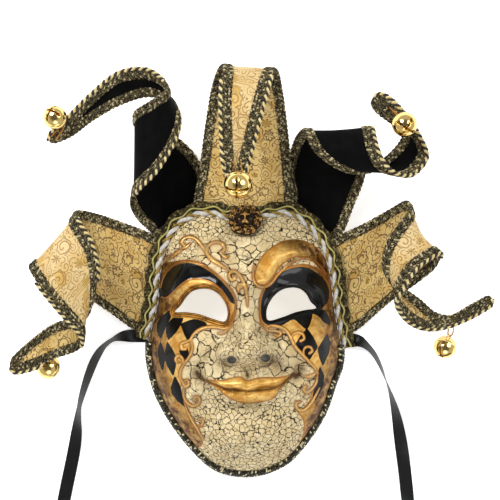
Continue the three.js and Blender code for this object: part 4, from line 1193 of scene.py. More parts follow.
@dataclass
class Horn:
    """A long strip of stiffened cloth between two braids, folded over to a narrow tail."""

    name: str
    cloth: Cloth
    form: FaceForm
    braid_width: float = 8.5
    braid_thickness: float = 2.8
    cloth_thickness: float = 0.9
    under_braid: float = 1.4
    end_width: float = 17.2
    clearance: float = 1.3
    pucker: float = 0.28
    pucker_length: float = 9.0
    rib: float = 2.2
    lump: float = 0.75
    lump_length: float = 4.4
    tip_length: float = 5.5
    slant: float = 0.85
    groove: float = 0.28
    thread_rise: float = 0.5
    loop_shift: float = 0.3
    braid_step: float = 0.65
    cloth_step: float = 1.6
    cord_step: float = 0.55
    cord_gap: float = 0.7
    cord_pitch: float = 6.6
    cord_reach: float = 0.9
    cord_radius: float = 1.22
    swell: float = 0.35
    edge_share: float = 0.35
    striped_edges: tuple = ()

    def __post_init__(self) -> None:
        """Lay the two edge curves and measure the strip at equal steps."""
        lines = np.array(HORN_LINES[self.name], float).reshape(-1, 2, 3)
        self.edges = [Spline(lines[:, side]) for side in (0, 1)]
        self.fine = np.linspace(0, 1, 901)
        a, b = (edge.point(self.fine) for edge in self.edges)
        self.widths = np.linalg.norm(b - a, axis=-1)
        self.run = lengths_along((a + b) / 2)

    def width(self, u: Array) -> Array:
        """Width of the strip at a share of its spans."""
        return np.interp(u, self.fine, self.widths)

    def place(self, u: Array, s: Array, lift: Array) -> Array:
        """Point s mm from the first edge and lift mm off the strip.

        The strip is ruled between its edges; its normal turns from one edge's direction to the other's.
        """
        a, b = (edge.point(u) for edge in self.edges)
        across = b - a
        width = np.linalg.norm(across, axis=-1, keepdims=True)
        share = s[..., None] / np.maximum(width, 1e-6)
        slopes = [edge.tangent(u) for edge in self.edges]
        along = slopes[0] + (slopes[1] - slopes[0]) * share
        normal = unit(np.cross(along, across))
        return a + across * share + normal * lift[..., None]

    def first_share(self, distance: Callable[[Array, Array], Array]) -> Array:
        """Share of the spans at which each column comes out from under the face's outline."""
        u = np.linspace(0, 0.2, 161)
        s = distance(self.width(u)[:, None], np.interp(u, self.fine, self.run)[:, None])
        spot = self.place(np.broadcast_to(u[:, None], s.shape), s, np.zeros(s.shape))
        x, y = spot[..., 0], spot[..., 1]
        gap = np.hypot(x, y) - self.form.radius(x, y) - self.clearance
        last = len(u) - 1 - np.argmax((gap <= 0)[::-1], axis=0)
        columns = np.arange(s.shape[1])
        after = np.minimum(last + 1, len(u) - 1)
        low, high = gap[last, columns], gap[after, columns]
        share = np.clip(-low / np.maximum(high - low, 1e-6), 0, 1)
        return np.where((gap <= 0).any(axis=0), u[last] + share * (u[1] - u[0]), 0.0)

    def strip(self, rows: Array, distance: Callable[[Array, Array], Array], lift: Callable[[Array], Array],
              pinch: bool = False) -> Skin:
        """Closed strip whose columns run round its section.

        Args:
            rows: shares of the spans, from the face to the tip.
            distance: from widths and lengths (rows, 1), the place of each column across the strip.
            lift: from lengths (rows, 1), the height of each column.
            pinch: whether the ends close along the middle of the cloth and not at a point.

        Returns:
            The surface, with u across the strip from its middle and v along it, in mm.
        """
        u = np.maximum(rows[:, None], self.first_share(distance)[None])
        width = self.width(rows)[:, None]
        v = np.interp(rows, self.fine, self.run)[:, None]
        s = distance(width, v)
        rounding = self.tip(v)
        s = width / 2 + (s - width / 2) * rounding
        points = self.place(u, s, lift(v) * rounding)
        uv = np.stack(np.broadcast_arrays(s - width / 2, v), axis=-1)
        if not pinch:
            return skin(*capped(points, uv))
        ends = [self.place(u[k], s[k], np.zeros(s.shape[1]))[None] for k in (0, -1)]
        points = np.concatenate([ends[0], points, ends[1]])
        return skin(points, np.concatenate([uv[:1], uv, uv[-1:]]))

    def tip(self, v: Array) -> Array:
        """How much narrower the strip is at a length: a half ellipse over its last stretch."""
        past = np.clip((v - self.run[-1] + self.tip_length) / self.tip_length, 0, 0.995)
        return np.sqrt(1 - past**2)

    def rows(self, step: float, last: float = 1.0) -> Array:
        """Shares of the spans at equal steps of length."""
        end = np.interp(last, self.fine, self.run)
        count = int(end / step) + 1
        return np.interp(np.linspace(0, end, count), self.run, self.fine)

    def braid_skin(self, second: bool) -> Skin:
        """One braid: a rounded bar with slanted ribs, a middle groove and thread loops at its edges.

        Height is the bar's, plus ribs |sin(pi (v / rib + slant x))| that meet in the middle as a
        herringbone, plus lumps |sin(pi v / lump length)|, with x from -1 to 1 across the braid.
        """
        bar = rounded_bar(2, 2, 40, 0.62)
        bar = np.concatenate([bar, bar[:1]])
        across, height = bar[:, 0], bar[:, 1]

        def distance(width: Array, v: Array) -> Array:
            """Place of each column across the strip, from its first edge."""
            band = np.minimum(self.braid_width, width / 2 + 0.15)
            bulge = self.lump * across[None] * (np.abs(np.sin(np.pi * v / self.lump_length)) - 0.4)
            near = (1 + across[None]) / 2 * band + bulge
            return width - near if second else near

        def lift(v: Array) -> Array:
            """Height of each column off the strip."""
            ribs = np.abs(np.sin(np.pi * (v / self.rib + self.slant * np.abs(across)[None])))
            loops = np.abs(np.sin(np.pi * (v / self.lump_length + self.loop_shift * across[None])))
            groove = self.groove * np.exp(-((np.abs(across)[None] - 0.02) / 0.13) ** 2)
            body = self.braid_thickness / 2 * height[None]
            relief = self.thread_rise * ribs + self.thread_rise * loops - groove
            return body + np.sign(height)[None] * relief * np.abs(height)[None]

        surface = self.strip(self.rows(self.braid_step), distance, lift)
        edge = np.tile(across, len(surface.points) // len(across))
        surface.uv = np.stack([edge * self.braid_width / 2, surface.uv[:, 1]], axis=-1)
        return surface

    def striped_cord(self, second: bool, start: float, end: float) -> list:
        """Twisted cord of a light and a dark strand along an edge, between two shares of the spans."""
        rows = self.rows(0.7)
        rows = rows[(rows >= start) & (rows <= end)]
        half, way = self.width(rows) / 2, 1 if second else -1
        s = half + (half + self.cord_gap) * self.tip(np.interp(rows, self.fine, self.run)) * way
        line, above = (self.place(rows, s, np.full(len(rows), lift)) for lift in (0.0, 1.0))
        normal = above - line
        line = resampled(line, max(int(lengths_along(line)[-1] / self.cord_step), 8))
        normal = resampled(normal, len(line))
        return [sweep(wound(line, normal, self.cord_pitch, k * np.pi, self.cord_reach), normal,
                      circle(self.cord_radius, 12), material=1 + k) for k in (0, 1)]

    def make(self, fabric: Material, braid: Sequence[Material]) -> list:
        last = self.fine[np.nonzero(self.widths >= self.end_width)[0][-1]]
        rows = self.rows(self.cloth_step, last)
        inset = self.braid_width - self.under_braid
        x = np.linspace(-1, 1, 45)
        across = np.concatenate([x, x[::-1], x[:1]])
        face = np.concatenate([np.ones(45), -np.ones(45), np.ones(1)])
        face[[0, 44, 45, 89, 90]] *= self.edge_share

        def distance(width: Array, v: Array) -> Array:
            """Place of each column across the strip; the panel reaches under both braids."""
            half = np.maximum(width / 2 - inset, 0.3)
            return width / 2 + across[None] * half

        def lift(v: Array) -> Array:
            """Half the cloth's thickness, with puckers along the braids and a slow swell."""
            margin = np.exp(-(1 - np.abs(across)[None]) * 6)
            wave = self.pucker * margin * np.sin(2 * np.pi * v / self.pucker_length + 3 * across[None])
            swell = self.swell * np.sin(v / 23 + 1.3 * across[None]) * (1 - across[None] ** 2)
            return wave + swell + self.cloth_thickness / 2 * face[None]

        node = "horn_" + self.name
        skins = [self.braid_skin(False), self.braid_skin(True)]
        for second, start, end in self.striped_edges:
            skins += self.striped_cord(second, start, end)
        trim = make_piece(node + "_trim", skins, braid, [node + "_braid"])
        panel = self.strip(rows, distance, lift, pinch=True)
        u, middle = np.full((1, 1), 0.15), self.width(np.full((1, 1), 0.15)) / 2
        rise = self.place(u, middle, np.ones((1, 1))) - self.place(u, middle, np.zeros((1, 1)))
        reverse = (face * np.sign(rise[0, 0, 2]) < 0).astype(float)
        panel.values["reverse"] = np.tile(reverse, len(panel.points) // len(reverse))
        cloth = make_piece(node + "_cloth", [panel], [fabric], [node])
        wide = np.maximum(self.width(rows) - 2 * inset, 0.6)
        return [trim, cloth]


@dataclass
class EdgeTrim:
    """Twisted rope, scalloped gimp and jaw braid round the edge of the face."""

    form: FaceForm
    ends: tuple = ((-89.5, 4), (86, -4))
    rope_offset: float = 2.7
    rope_lift: float = 1.0
    pitch: float = 15.5
    gimp_width: float = 11.6
    gimp_thickness: float = 1.6
    gimp_drop: float = 2.1
    gimp_near: float = 0.7
    scallop: float = 1.7
    scallop_length: float = 17.0
    gimp_rib: float = 0.22
    gimp_rib_length: float = 1.9
    gimp_cord: float = 0.75
    gimp_cord_rise: float = 0.55
    wave_length: float = 17.0
    wave_reach: float = 1.35
    jaw_foot: float = 3.0
    jaw_gap: float = 0.4
    jaw_thickness: float = 2.6
    jaw_gap_after_rope: float = -0.005
    jaw_overrun: float = 0.017
    jaw_half_width: float = 6.0
    jaw_rib: float = 0.6
    jaw_rib_length: float = 2.6
    jaw_slant: float = 0.8
    # Phase, distance from the rope's middle, radius and columns of the white and the gold strand.
    strands: tuple = ((0.0, 1.0, 1.9, 18), (math.pi, 1.55, 1.25, 12))

    def fractions(self, start: tuple, end: tuple, step: float) -> Array:
        """Fractions of the outline's length from one place to another at about equal steps."""
        low, high = self.form.fraction_nearest(start), self.form.fraction_nearest(end)
        high += 1.0 if high < low else 0.0
        count = int((high - low) * self.form.outline.length() / step)
        return np.linspace(low, high, count)

    def rope(self, silk: Sequence[Material]) -> Piece:
        """Rope of a fat white strand and a thinner gold strand wound round one another as helices."""
        point, outward = self.form.station(self.fractions(*self.ends, 0.7))
        path = point + outward * self.rope_offset
        path[:, 2] = self.form.rim(point[:, 1]) + self.rope_lift
        up = np.array([0.0, 0.0, 1.0])
        skins = [sweep(wound(path, up, -self.pitch, phase, reach), up, circle(radius, columns), number)
                 for number, (phase, reach, radius, columns) in enumerate(self.strands)]
        return make_piece("twisted_rope", skins, silk, ["rope_cord"])

    def gimp(self, yarns: Sequence[Material]) -> Piece:
        """Flat knitted band with a scalloped outer edge, cross ribs, and a wavy cord along its middle."""
        point, outward = self.form.station(self.fractions(*self.ends, 0.75))
        top = self.form.rim(point[:, 1]) - self.gimp_drop
        run = lengths_along(point)[:, None]
        bar = rounded_bar(2, 2, 44, 0.4)
        bar = np.concatenate([bar, bar[:1]])
        x, h = bar[:, 0][None], bar[:, 1][None]
        scallop = self.scallop * np.abs(np.sin(np.pi * run / self.scallop_length))
        out = self.gimp_near + (1 + x) / 2 * (self.gimp_width + scallop)
        ribs = self.gimp_rib * np.abs(np.sin(np.pi * run / self.gimp_rib_length + 0.6 * x))
        ribs += 0.1 * np.abs(np.sin(np.pi * (1 + x) * 3.5))
        cable = 0.35 * np.exp(-((x - 0.72) / 0.14) ** 2) + 0.3 * np.exp(-((x + 0.5) / 0.2) ** 2)
        z = top[:, None] - self.gimp_thickness / 2 * (1 - h) + (ribs + cable) * np.clip(h, 0, 1)
        points = point[:, None] + outward[:, None] * out[..., None]
        points[..., 2] = z
        band = skin(*capped(points, np.stack(np.broadcast_arrays(out, run), axis=-1)))
        wave = self.wave_reach * np.sin(2 * np.pi * run[:, 0] / self.wave_length)
        wave += self.gimp_near + self.gimp_width * 0.6
        path = point + outward * wave[:, None]
        path[:, 2] = top + self.gimp_cord_rise
        cord = sweep(path, np.array([0.0, 0.0, 1.0]), circle(self.gimp_cord, 10), 1)
        return make_piece("scalloped_gimp", [band, cord], yarns, ["gimp_braid"])

    def jaw(self, braid: Material) -> Piece:
        """Braid folded over the rim: up the outside of the shell and onto the face.

        Its section follows the wall's profile, raised by a gap below and by the braid's thickness above.
        """
        first = self.form.fraction_nearest(self.ends[1]) + self.jaw_gap_after_rope
        fraction = np.linspace(first, 1.0 + self.jaw_overrun, 430)
        point, outward = self.form.station(fraction)
        rim = self.form.rim(point[:, 1])
        depth = np.sum(point * outward, axis=-1)
        rho = np.array([1, 0.996, 0.99, 0.98, 0.968, 0.955])
        face_z = self.form.dome(rho[None], point[:, :1], point[:, 1:2], rim[:, None], self.form.dome_height)
        climb = np.linspace(0, 1, 6)[None, :-1]
        wall_z = self.jaw_foot + (rim[:, None] - self.jaw_foot) * climb
        z = np.concatenate([wall_z, face_z], axis=1)
        out = np.concatenate([np.zeros(wall_z.shape), (rho[None] - 1) * depth[:, None]], axis=1)
        slope = unit(np.stack([np.gradient(out, axis=1), np.gradient(z, axis=1)], axis=-1))
        side, up = slope[..., 1], -slope[..., 0]
        across = np.linspace(-1, 1, z.shape[1])[None]
        run = lengths_along(point)[:, None]
        bulge = np.sqrt(np.clip(1 - across**4, 0.02, 1))
        ribs = np.abs(np.sin(np.pi * (run / self.jaw_rib_length + self.jaw_slant * np.abs(across))))
        ribs = self.jaw_rib * ribs - self.jaw_rib / 2
        layers = []
        for lift in (self.jaw_gap, self.jaw_gap + self.jaw_thickness * bulge + ribs):
            spot = point[:, None] * (1 + out / depth[:, None])[..., None]
            spot = spot + outward[:, None] * (side * lift)[..., None]
            spot[..., 2] = z + up * lift
            layers.append(spot)
        points = np.concatenate([layers[0], layers[1][:, ::-1], layers[0][:, :1]], axis=1)
        width = np.concatenate([across, across[:, ::-1], across[:, :1]], axis=1) * self.jaw_half_width
        surface = skin(*capped(points, np.stack(np.broadcast_arrays(width, run), axis=-1)))
        return make_piece("jaw_edging", [surface], [braid], ["jaw_braid"])


@dataclass
class Bell:
    """A jingle bell of two pressed halves with crossed slots, its wire loop and the wire that ties it."""

    name: str
    at: tuple
    radius: float
    loop_way: tuple
    tie: tuple
    wall: float = 0.9
    slot: float = 2.1
    slot_reach: float = 0.7
    hole: float = 1.6
    seam: float = 0.3
    loop_radius: float = 2.1
    loop_wire: float = 0.62
    loop_sunk: float = 0.52
    tie_drop: float = 0.6
    tie_spread: float = 1.8
    tie_rise: float = 2.2
    tie_wire: float = 0.4
    tie_pitch: float = 2.6
    tie_reach: float = 0.26
    slot_levels: tuple = (-1.4, -0.35)

    def __post_init__(self) -> None:
        """Work out the bell's own directions."""
        self.way = unit(np.array(self.loop_way, float))
        ends = np.array(self.tie, float)
        self.side = unit(np.cross(ends[1] - ends[0], self.way))
        self.through = np.cross(self.way, self.side)

    def turned(self, points: Array) -> Array:
        """Carry points from the bell's own axes (side, through, loop way) to the mask."""
        axes = np.stack([self.side, self.through, self.way])
        return points @ axes + np.array(self.at, float)

    def ball(self) -> Skin:
        """Hollow ball: out along the outer radius from pole to slot, back along the inner radius.

        The seam is a ring: radius + seam exp(-(angle from the equator / 0.05)^2).
        """
        down = np.linspace(0.01, np.pi - 0.04, 84)
        angle = np.concatenate([down, down[::-3]])
        seam = self.seam * np.exp(-(((down - np.pi / 2) / 0.05) ** 2))
        radius = np.concatenate([self.radius + seam, np.full(len(down[::-3]), self.radius - self.wall)])
        turn = np.linspace(0, 2 * np.pi, 73)
        ring = radius * np.sin(angle)
        points = poled(np.stack([ring[:, None] * np.cos(turn), ring[:, None] * np.sin(turn),
                                 np.repeat((radius * np.cos(angle))[:, None], len(turn), 1)], axis=-1))
        uv = np.stack(np.broadcast_arrays(turn[None] * self.radius, points[..., 2]), axis=-1)
        return skin(self.turned(points), uv)

    def cross(self) -> Array:
        """Outline of the crossed slots with a round hole at each end, in the plane across the loop."""
        reach, w = self.slot_reach * self.radius, self.slot / 2
        start = math.asin(w / self.hole)
        arc = np.linspace(start - np.pi, np.pi - start, 17)
        arm = np.stack([reach + self.hole * np.cos(arc), self.hole * np.sin(arc)], axis=-1)
        arm = np.concatenate([[[w, -w]], arm])
        turns = [np.array([[c, s], [-s, c]]) for c, s in ((1, 0), (0, 1), (-1, 0), (0, -1))]
        return np.concatenate([arm @ turn for turn in turns])

    def ring(self) -> Skin:
        """Loop of round wire that stands on the bell."""
        turn = np.linspace(0, 2 * np.pi, 49)
        middle = np.array([0, 0, self.radius + self.loop_radius - self.loop_sunk])
        path = self.loop_radius * np.stack([np.cos(turn), 0 * turn, np.sin(turn)], axis=-1) + middle
        out, wire = unit(path - middle), circle(self.loop_wire, 14)
        tube = path[:, None] + wire[:, :1] * out[:, None] + wire[:, 1:] * np.array([0.0, 1.0, 0.0])
        tube = np.concatenate([tube, tube[:, :1]], axis=1)
        uv = np.stack(np.broadcast_arrays(turn[:, None] * self.loop_radius, np.arange(15.0)[None]), axis=-1)
        return skin(self.turned(tube), uv)

    def make(self, gold: Material, wire: Material) -> list:
        """Build the bell with its loop, cut its slots, and build its tie."""
        node = "bell_" + self.name
        piece = make_piece(node + "_gold", [self.ball()], [gold], [node])
        levels = [at_height(self.cross(), share * self.radius) for share in self.slot_levels]
        cut_away(piece, prism("slots", *(self.turned(level) for level in levels)))
        loop = make_piece(node + "_loop", [self.ring()], [gold], [])
        return [piece, loop, self.tied(wire, node)]

    def tied(self, wire: Material, node: str) -> Piece:
        """Two wires twisted round one another from the braid through the loop and back."""
        eye = np.array(self.at) + self.way * (self.radius + self.loop_radius - self.tie_drop)
        near, far = (eye + sign * self.through * self.tie_spread + self.way * self.tie_rise
                     for sign in (-1, 1))
        path = Spline(np.array([self.tie[0], near, eye, far, self.tie[1]])).point(np.linspace(0, 1, 240))
        path = resampled(path, 200)
        over = unit(np.cross(directions(path), self.side))
        strands = [sweep(wound(path, self.side, -self.tie_pitch, -phase, self.tie_reach), over,
                         circle(self.tie_wire, 8)) for phase in (0, np.pi)]
        return make_piece(node + "_wire", strands, [wire], [node + "_tie"])


BELLS = {
    "centre": ((-7.2, 139.5, 112), 11.5, (0.1, 0.46, -0.88), ((-11.5, 160, 101.5), (-5, 160, 101.5))),
    "upper_left": ((-165.4, 199.8, 70), 10.2, (0.28, -0.55, -0.79),
                   ((-170, 184, 61.6), (-166, 181.5, 61.6))),
    "upper_right": ((134, 192, 86), 10.6, (-0.05, 0.4, -0.91), ((127, 205, 72.8), (123, 208, 72.2))),
    "side_left": ((-180.2, -20.5, 16.5), 10.8, (-0.3, 0.2, 1), ((-184, -14, 32.3), (-188.5, -15, 32.3))),
    "side_right": ((180.5, -3, 10.5), 10.2, (0.4, 0.75, -0.5), ((181, 20.5, 36.2), (184.5, 22, 37))),
}


def prism(name: str, low: Array, high: Array) -> Piece:
    """Closed tool between two equal outlines in the mask's millimetres, to cut an opening with."""
    count = len(low)
    points = to_frame(np.concatenate([low, high]))
    faces = [(k, (k + 1) % count, count + (k + 1) % count, count + k) for k in range(count)]
    faces += [tuple(range(count))[::-1], tuple(range(count, 2 * count))]
    mesh = bpy.data.meshes.new(name)
    mesh.from_pydata(points.tolist(), [], faces)
    work = bmesh.new()
    work.from_mesh(mesh)
    bmesh.ops.recalc_face_normals(work, faces=work.faces)
    work.to_mesh(mesh)
    work.free()
    return put(name, mesh)


@dataclass
class LionHead:
    """Cast lion's head on the brow: a round back, two rows of mane locks and the face."""

    at: tuple = (-1.7, 111.3, 36.6)
    radius: float = 14.5
    tilt: float = -25.0
    thickness: float = 2.4
    crown: float = 3.4
    lock_rise: float = 1.3
    curl_rise: float = 2.4
    # Swellings, each on both sides: centre across and up, half widths, rise in mm.
    features: tuple = (
        (0, 4.6, 3.4, 2.6, 1.2), (3.1, 3.4, 1.9, 0.9, 1.3), (2.9, 1.8, 1.2, 0.8, -1.5),
        (2.9, 1.7, 0.55, 0.4, 0.8), (0, 1.4, 1.0, 3.4, 1.5), (0, -2.0, 1.7, 1.0, 1.6),
        (1.9, -3.9, 1.7, 1.6, 1.7), (0, -5.7, 2.6, 0.5, -1.6), (0, -7.2, 1.9, 1.1, 1.3),
        (5.2, -0.6, 1.7, 2.2, 0.9), (5.6, 6.2, 1.3, 1.3, 1.5), (5.6, 6.2, 0.5, 0.5, -1.2),
    )

    def smooth(self, share: Array) -> Array:
        """Height of the plain crown over the back, at a share of the radius."""
        return self.thickness + self.crown * np.cos(np.pi / 2 * share)

    def relief(self, share: Array, angle: Array) -> Array:
        """Height over the back: crown, locks |cos|, crossed and bent sines as curls, and the swellings."""
        reach = self.radius * share
        height = self.smooth(share)
        for count, middle, width, phase in ((13, 0.9, 0.12, 0.0), (11, 0.7, 0.12, 0.4)):
            curl = angle + phase + 0.9 * (share - middle)
            lock = np.abs(np.cos(count * curl / 2)) ** 0.7
            lock = lock * (0.75 + 0.25 * np.abs(np.sin(3 * count * curl / 2)))
            height = height + self.lock_rise * lock * np.exp(-(((share - middle) / width) ** 2))
        x, y = reach * np.cos(angle), reach * np.sin(angle)
        curls = np.sin(1.9 * x + 1.5 * np.sin(1.25 * y + 0.7)) * np.sin(1.8 * y + 1.5 * np.sin(1.4 * x))
        height = height + self.curl_rise * curls * smoothstep((share - 0.42) / 0.2) * (1.1 - share)
        for away, cy, half_x, half_y, rise in self.features:
            for cx in sorted({-away, away}):
                height = height + rise * np.exp(-(((x - cx) / half_x) ** 2 + ((y - cy) / half_y) ** 2))
        return height

    def make(self, bronze: Material) -> Piece:
        """Build the head as one closed grid, tilted back against the brow."""
        angle = np.linspace(0, 2 * np.pi, 181)[None]
        share = np.linspace(1, 0.004, 76)[:, None]
        ragged = 0.07 * np.abs(np.cos(6.5 * angle)) + 0.04 * np.sin(5 * angle + 1)
        reach = self.radius * share * (1 + ragged * share)
        height = self.relief(share, angle)
        front = np.stack([reach * np.cos(angle), reach * np.sin(angle), height], axis=-1)
        back = [front[:1] * np.array(size) for size in ((0, 0, 0), (0.9, 0.9, 0), (0.98, 0.98, 0.5))]
        grid = np.concatenate([*back, front])
        grid = np.concatenate([grid, np.repeat(grid[-1:].mean(1, keepdims=True), grid.shape[1], 1)])
        c, s = math.cos(math.radians(self.tilt)), math.sin(math.radians(self.tilt))
        x, y, z = grid[..., 0], grid[..., 1], grid[..., 2]
        turned = np.stack([x, y * c - z * s, y * s + z * c], axis=-1) + np.array(self.at)
        surface = skin(turned, grid[..., :2])
        smooth = self.smooth(np.clip(np.hypot(x, y) / self.radius, 0, 1))
        surface.values["rise"] = np.clip((z - smooth + 0.4) / 2.2, 0, 1).ravel()
        return make_piece("lion_head", [surface], [bronze], ["forehead_medallion"])


@dataclass(frozen=True)
class Signal:
    """One output in a node tree; arithmetic on it adds Math nodes."""

    graph: "Graph"
    socket: Socket

    def __add__(self, other: object) -> "Signal":
        """Sum."""
        return self.graph.math("ADD", self, other)

    def __sub__(self, other: object) -> "Signal":
        """Difference."""
        return self.graph.math("SUBTRACT", self, other)

    def __rsub__(self, other: object) -> "Signal":
        """Difference from a number."""
        return self.graph.math("SUBTRACT", other, self)

    def __mul__(self, other: object) -> "Signal":
        """Product."""
        return self.graph.math("MULTIPLY", self, other)

    def __truediv__(self, other: object) -> "Signal":
        """Quotient."""
        return self.graph.math("DIVIDE", self, other)

    def __rtruediv__(self, other: object) -> "Signal":
        """Quotient of a number by this."""
        return self.graph.math("DIVIDE", other, self)

    def __abs__(self) -> "Signal":
        """Size without the sign."""
        return self.graph.math("ABSOLUTE", self)

    def linear(self, slope: object, start: object) -> "Signal":
        """Straight line: this times slope, plus start."""
        return self.graph.math("MULTIPLY_ADD", self, slope, start)


@dataclass(frozen=True)
class Graph:
    """Short ways of adding nodes to a material's or a group's node tree."""

    tree: Tree

    def node(self, kind: str, **options: object) -> Node:
        """Add a node of a kind with its options set."""
        made = self.tree.nodes.new("ShaderNode" + kind)
        for key, value in options.items():
            setattr(made, key, value)
        return made

    def feed(self, made: Node, values: dict) -> Node:
        """Set inputs, by name or number, from signals or from constants."""
        for slot, value in values.items():
            if isinstance(value, Signal):
                self.tree.links.new(value.socket, made.inputs[slot])
            elif value is not None:
                made.inputs[slot].default_value = value
        return made

    def read(self, made: Node) -> dict:
        """Outputs of a node by name."""
        return {socket.name: Signal(self, socket) for socket in made.outputs}

    def output(self, made: Node, number: int = 0) -> Signal:
        """One output of a node by number."""
        return Signal(self, made.outputs[number])

    def math(self, operation: str, a: object, b: object = None, c: object = None) -> Signal:
        """Arithmetic on one to three numbers."""
        return self.output(self.feed(self.node("Math", operation=operation), {0: a, 1: b, 2: c}))

    def vector(self, operation: str, a: object, b: object) -> Signal:
        """Arithmetic on vectors; a scale takes its factor as b."""
        made = self.node("VectorMath", operation=operation)
        return self.output(self.feed(made, {0: a, 3 if operation == "SCALE" else 1: b}))

    def step(self, value: object, low: object, high: object) -> Signal:
        """Smooth step of a value from 0 at low to 1 at high."""
        made = self.node("MapRange", interpolation_type="SMOOTHSTEP")
        return self.output(self.feed(made, {0: value, 1: low, 2: high}))

    def mix(self, share: object, a: object, b: object) -> Signal:
        """Mix of two colours."""
        return self.output(self.feed(self.node("Mix", data_type="RGBA"), {0: share, 6: a, 7: b}), 2)

    def blend(self, share: object, a: object, b: object) -> Signal:
        """Mix of two numbers."""
        return self.output(self.feed(self.node("Mix", data_type="FLOAT"), {0: share, 2: a, 3: b}))

    def noise(self, place: object, scale: float, detail: float = 2.0, rough: float = 0.5) -> dict:
        """Outputs of a noise texture."""
        return self.read(self.feed(self.node("TexNoise"), {
            "Vector": place, "Scale": scale, "Detail": detail, "Roughness": rough}))

    def cells(self, place: object, scale: float, feature: str, chaos: float = 1.0) -> dict:
        """Outputs of a Voronoi texture."""
        return self.read(self.feed(self.node("TexVoronoi", feature=feature), {
            "Vector": place, "Scale": scale, "Randomness": chaos}))

    def value(self, key: str) -> Signal:
        """Number stored at the points of the mesh."""
        return self.read(self.node("Attribute", attribute_name=key))["Fac"]

    def object_mm(self) -> Signal:
        """Object coordinates in mm."""
        return self.vector("SCALE", self.read(self.node("TexCoord"))["Object"], 1000.0)

    def surface_mm(self) -> Signal:
        """The piece's own UV, which is in mm."""
        return self.output(self.node("UVMap", uv_map="UVMap"))

    def apart(self, vector: object) -> list:
        """The three parts of a vector."""
        return list(self.read(self.feed(self.node("SeparateXYZ"), {0: vector})).values())

    def joined(self, x: object, y: object) -> Signal:
        """Vector of two numbers and 0."""
        return self.output(self.feed(self.node("CombineXYZ"), {0: x, 1: y}))

    def use(self, group: Tree, **inputs: object) -> dict:
        """Add a node group, feed its inputs by name and return its outputs."""
        return self.read(self.feed(self.node("Group", node_tree=group), inputs))

    def bump(self, height: object, distance: float, strength: float = 1.0) -> Signal:
        """Normal from a height; the distance is in mm."""
        return self.output(self.feed(self.node("Bump"), {
            "Strength": strength, "Distance": distance * MM, "Height": height}))


def rgb(red: int, green: int, blue: int) -> tuple:
    """Colour as the eye reads it (0 to 255) as linear red, green, blue and 1."""
    parts = [c / 255 for c in (red, green, blue)]
    return tuple(c / 12.92 if c <= 0.04045 else ((c + 0.055) / 1.055) ** 2.4 for c in parts) + (1.0,)


def new_group(name: str, inputs: dict, outputs: Sequence[str]) -> tuple:
    """Create a shader node group with named sockets.

    Args:
        name: name of the group.
        inputs: socket names and kinds, Vector or Float.
        outputs: names of the outputs, which are numbers.

    Returns:
        The group's Graph, its inputs by name and its output node.
    """
    g = Graph(bpy.data.node_groups.new(name, "ShaderNodeTree"))
    for sockets, way in ((inputs, "INPUT"), (dict.fromkeys(outputs, "Float"), "OUTPUT")):
        for key, kind in sockets.items():
            g.tree.interface.new_socket(key, in_out=way, socket_type="NodeSocket" + kind)
    source, result = g.tree.nodes.new("NodeGroupInput"), g.tree.nodes.new("NodeGroupOutput")
    return g, g.read(source), result


def crackle_group() -> Tree:
    """Two sizes of crackle: Line is 1 in a crack, Tone differs by island, and Fine picks the small size."""
    g, source, result = new_group("crackle", {"Place": "Vector", "Fine": "Float"}, ("Line", "Tone"))
    place = source["Place"]
    drift = g.vector("SUBTRACT", g.noise(place, 0.16, 3.0, 0.6)["Color"], (0.5, 0.5, 0.5))
    bent = g.vector("ADD", place, g.vector("SCALE", drift, 5.0))
    breadth = g.noise(place, 0.22, 2.0)["Fac"]
    lines = []
    for scale, half_width in ((0.088, 0.84), (0.225, 0.46), (0.19, 0.46)):
        edge = g.cells(bent, scale, "DISTANCE_TO_EDGE")["Distance"]
        reach = breadth.linear(1.7, -0.1) * (half_width * scale)
        lines.append(1.0 - g.step(edge, reach * 0.35, reach))
    patchy = g.step(g.noise(place, 0.09, 1.0)["Fac"], 0.42, 0.62)
    second = lines[2] * patchy * 0.65
    bold = g.math("MAXIMUM", lines[0], second)
    line = g.blend(source["Fine"], bold, lines[1])
    tones = [g.cells(bent, scale, "F1")["Color"] for scale in (0.088, 0.225)]
    g.feed(result, {"Line": line, "Tone": g.blend(source["Fine"], *tones)})
    return g.tree


def knit_group() -> Tree:
    """Slanted loops of yarn in rows: Height over the loops, Tone of each loop, Fleck of some loops."""
    g, source, result = new_group("knit", {
        "Place": "Vector", "Pitch": "Float", "Lean": "Float", "Lane": "Float", "Columns": "Float",
    }, ("Height", "Tone", "Fleck"))
    across, along, _ = g.apart(source["Place"])
    lane = across / source["Lane"]
    slanted = abs(lane) * source["Lean"]
    row = along / source["Pitch"] + slanted
    count = g.math("FLOOR", row)
    parts = lane * source["Columns"]
    column = g.math("FLOOR", parts)
    rib = abs(g.math("SINE", row * math.pi))
    strand = abs(g.math("SINE", parts * math.pi))
    drawn = g.joined(parts * 1.1, row * 3.0)
    fibre = g.noise(drawn, 1.0, 2.0, 0.6)["Fac"]
    height = rib * strand.linear(0.5, 0.5) + fibre * 0.35
    random = g.feed(g.node("TexWhiteNoise", noise_dimensions="2D"), {"Vector": g.joined(column, count)})
    g.feed(result, {"Height": height, "Tone": g.read(random)["Value"], "Fleck": g.step(fibre, 0.5, 0.64)})
    return g.tree


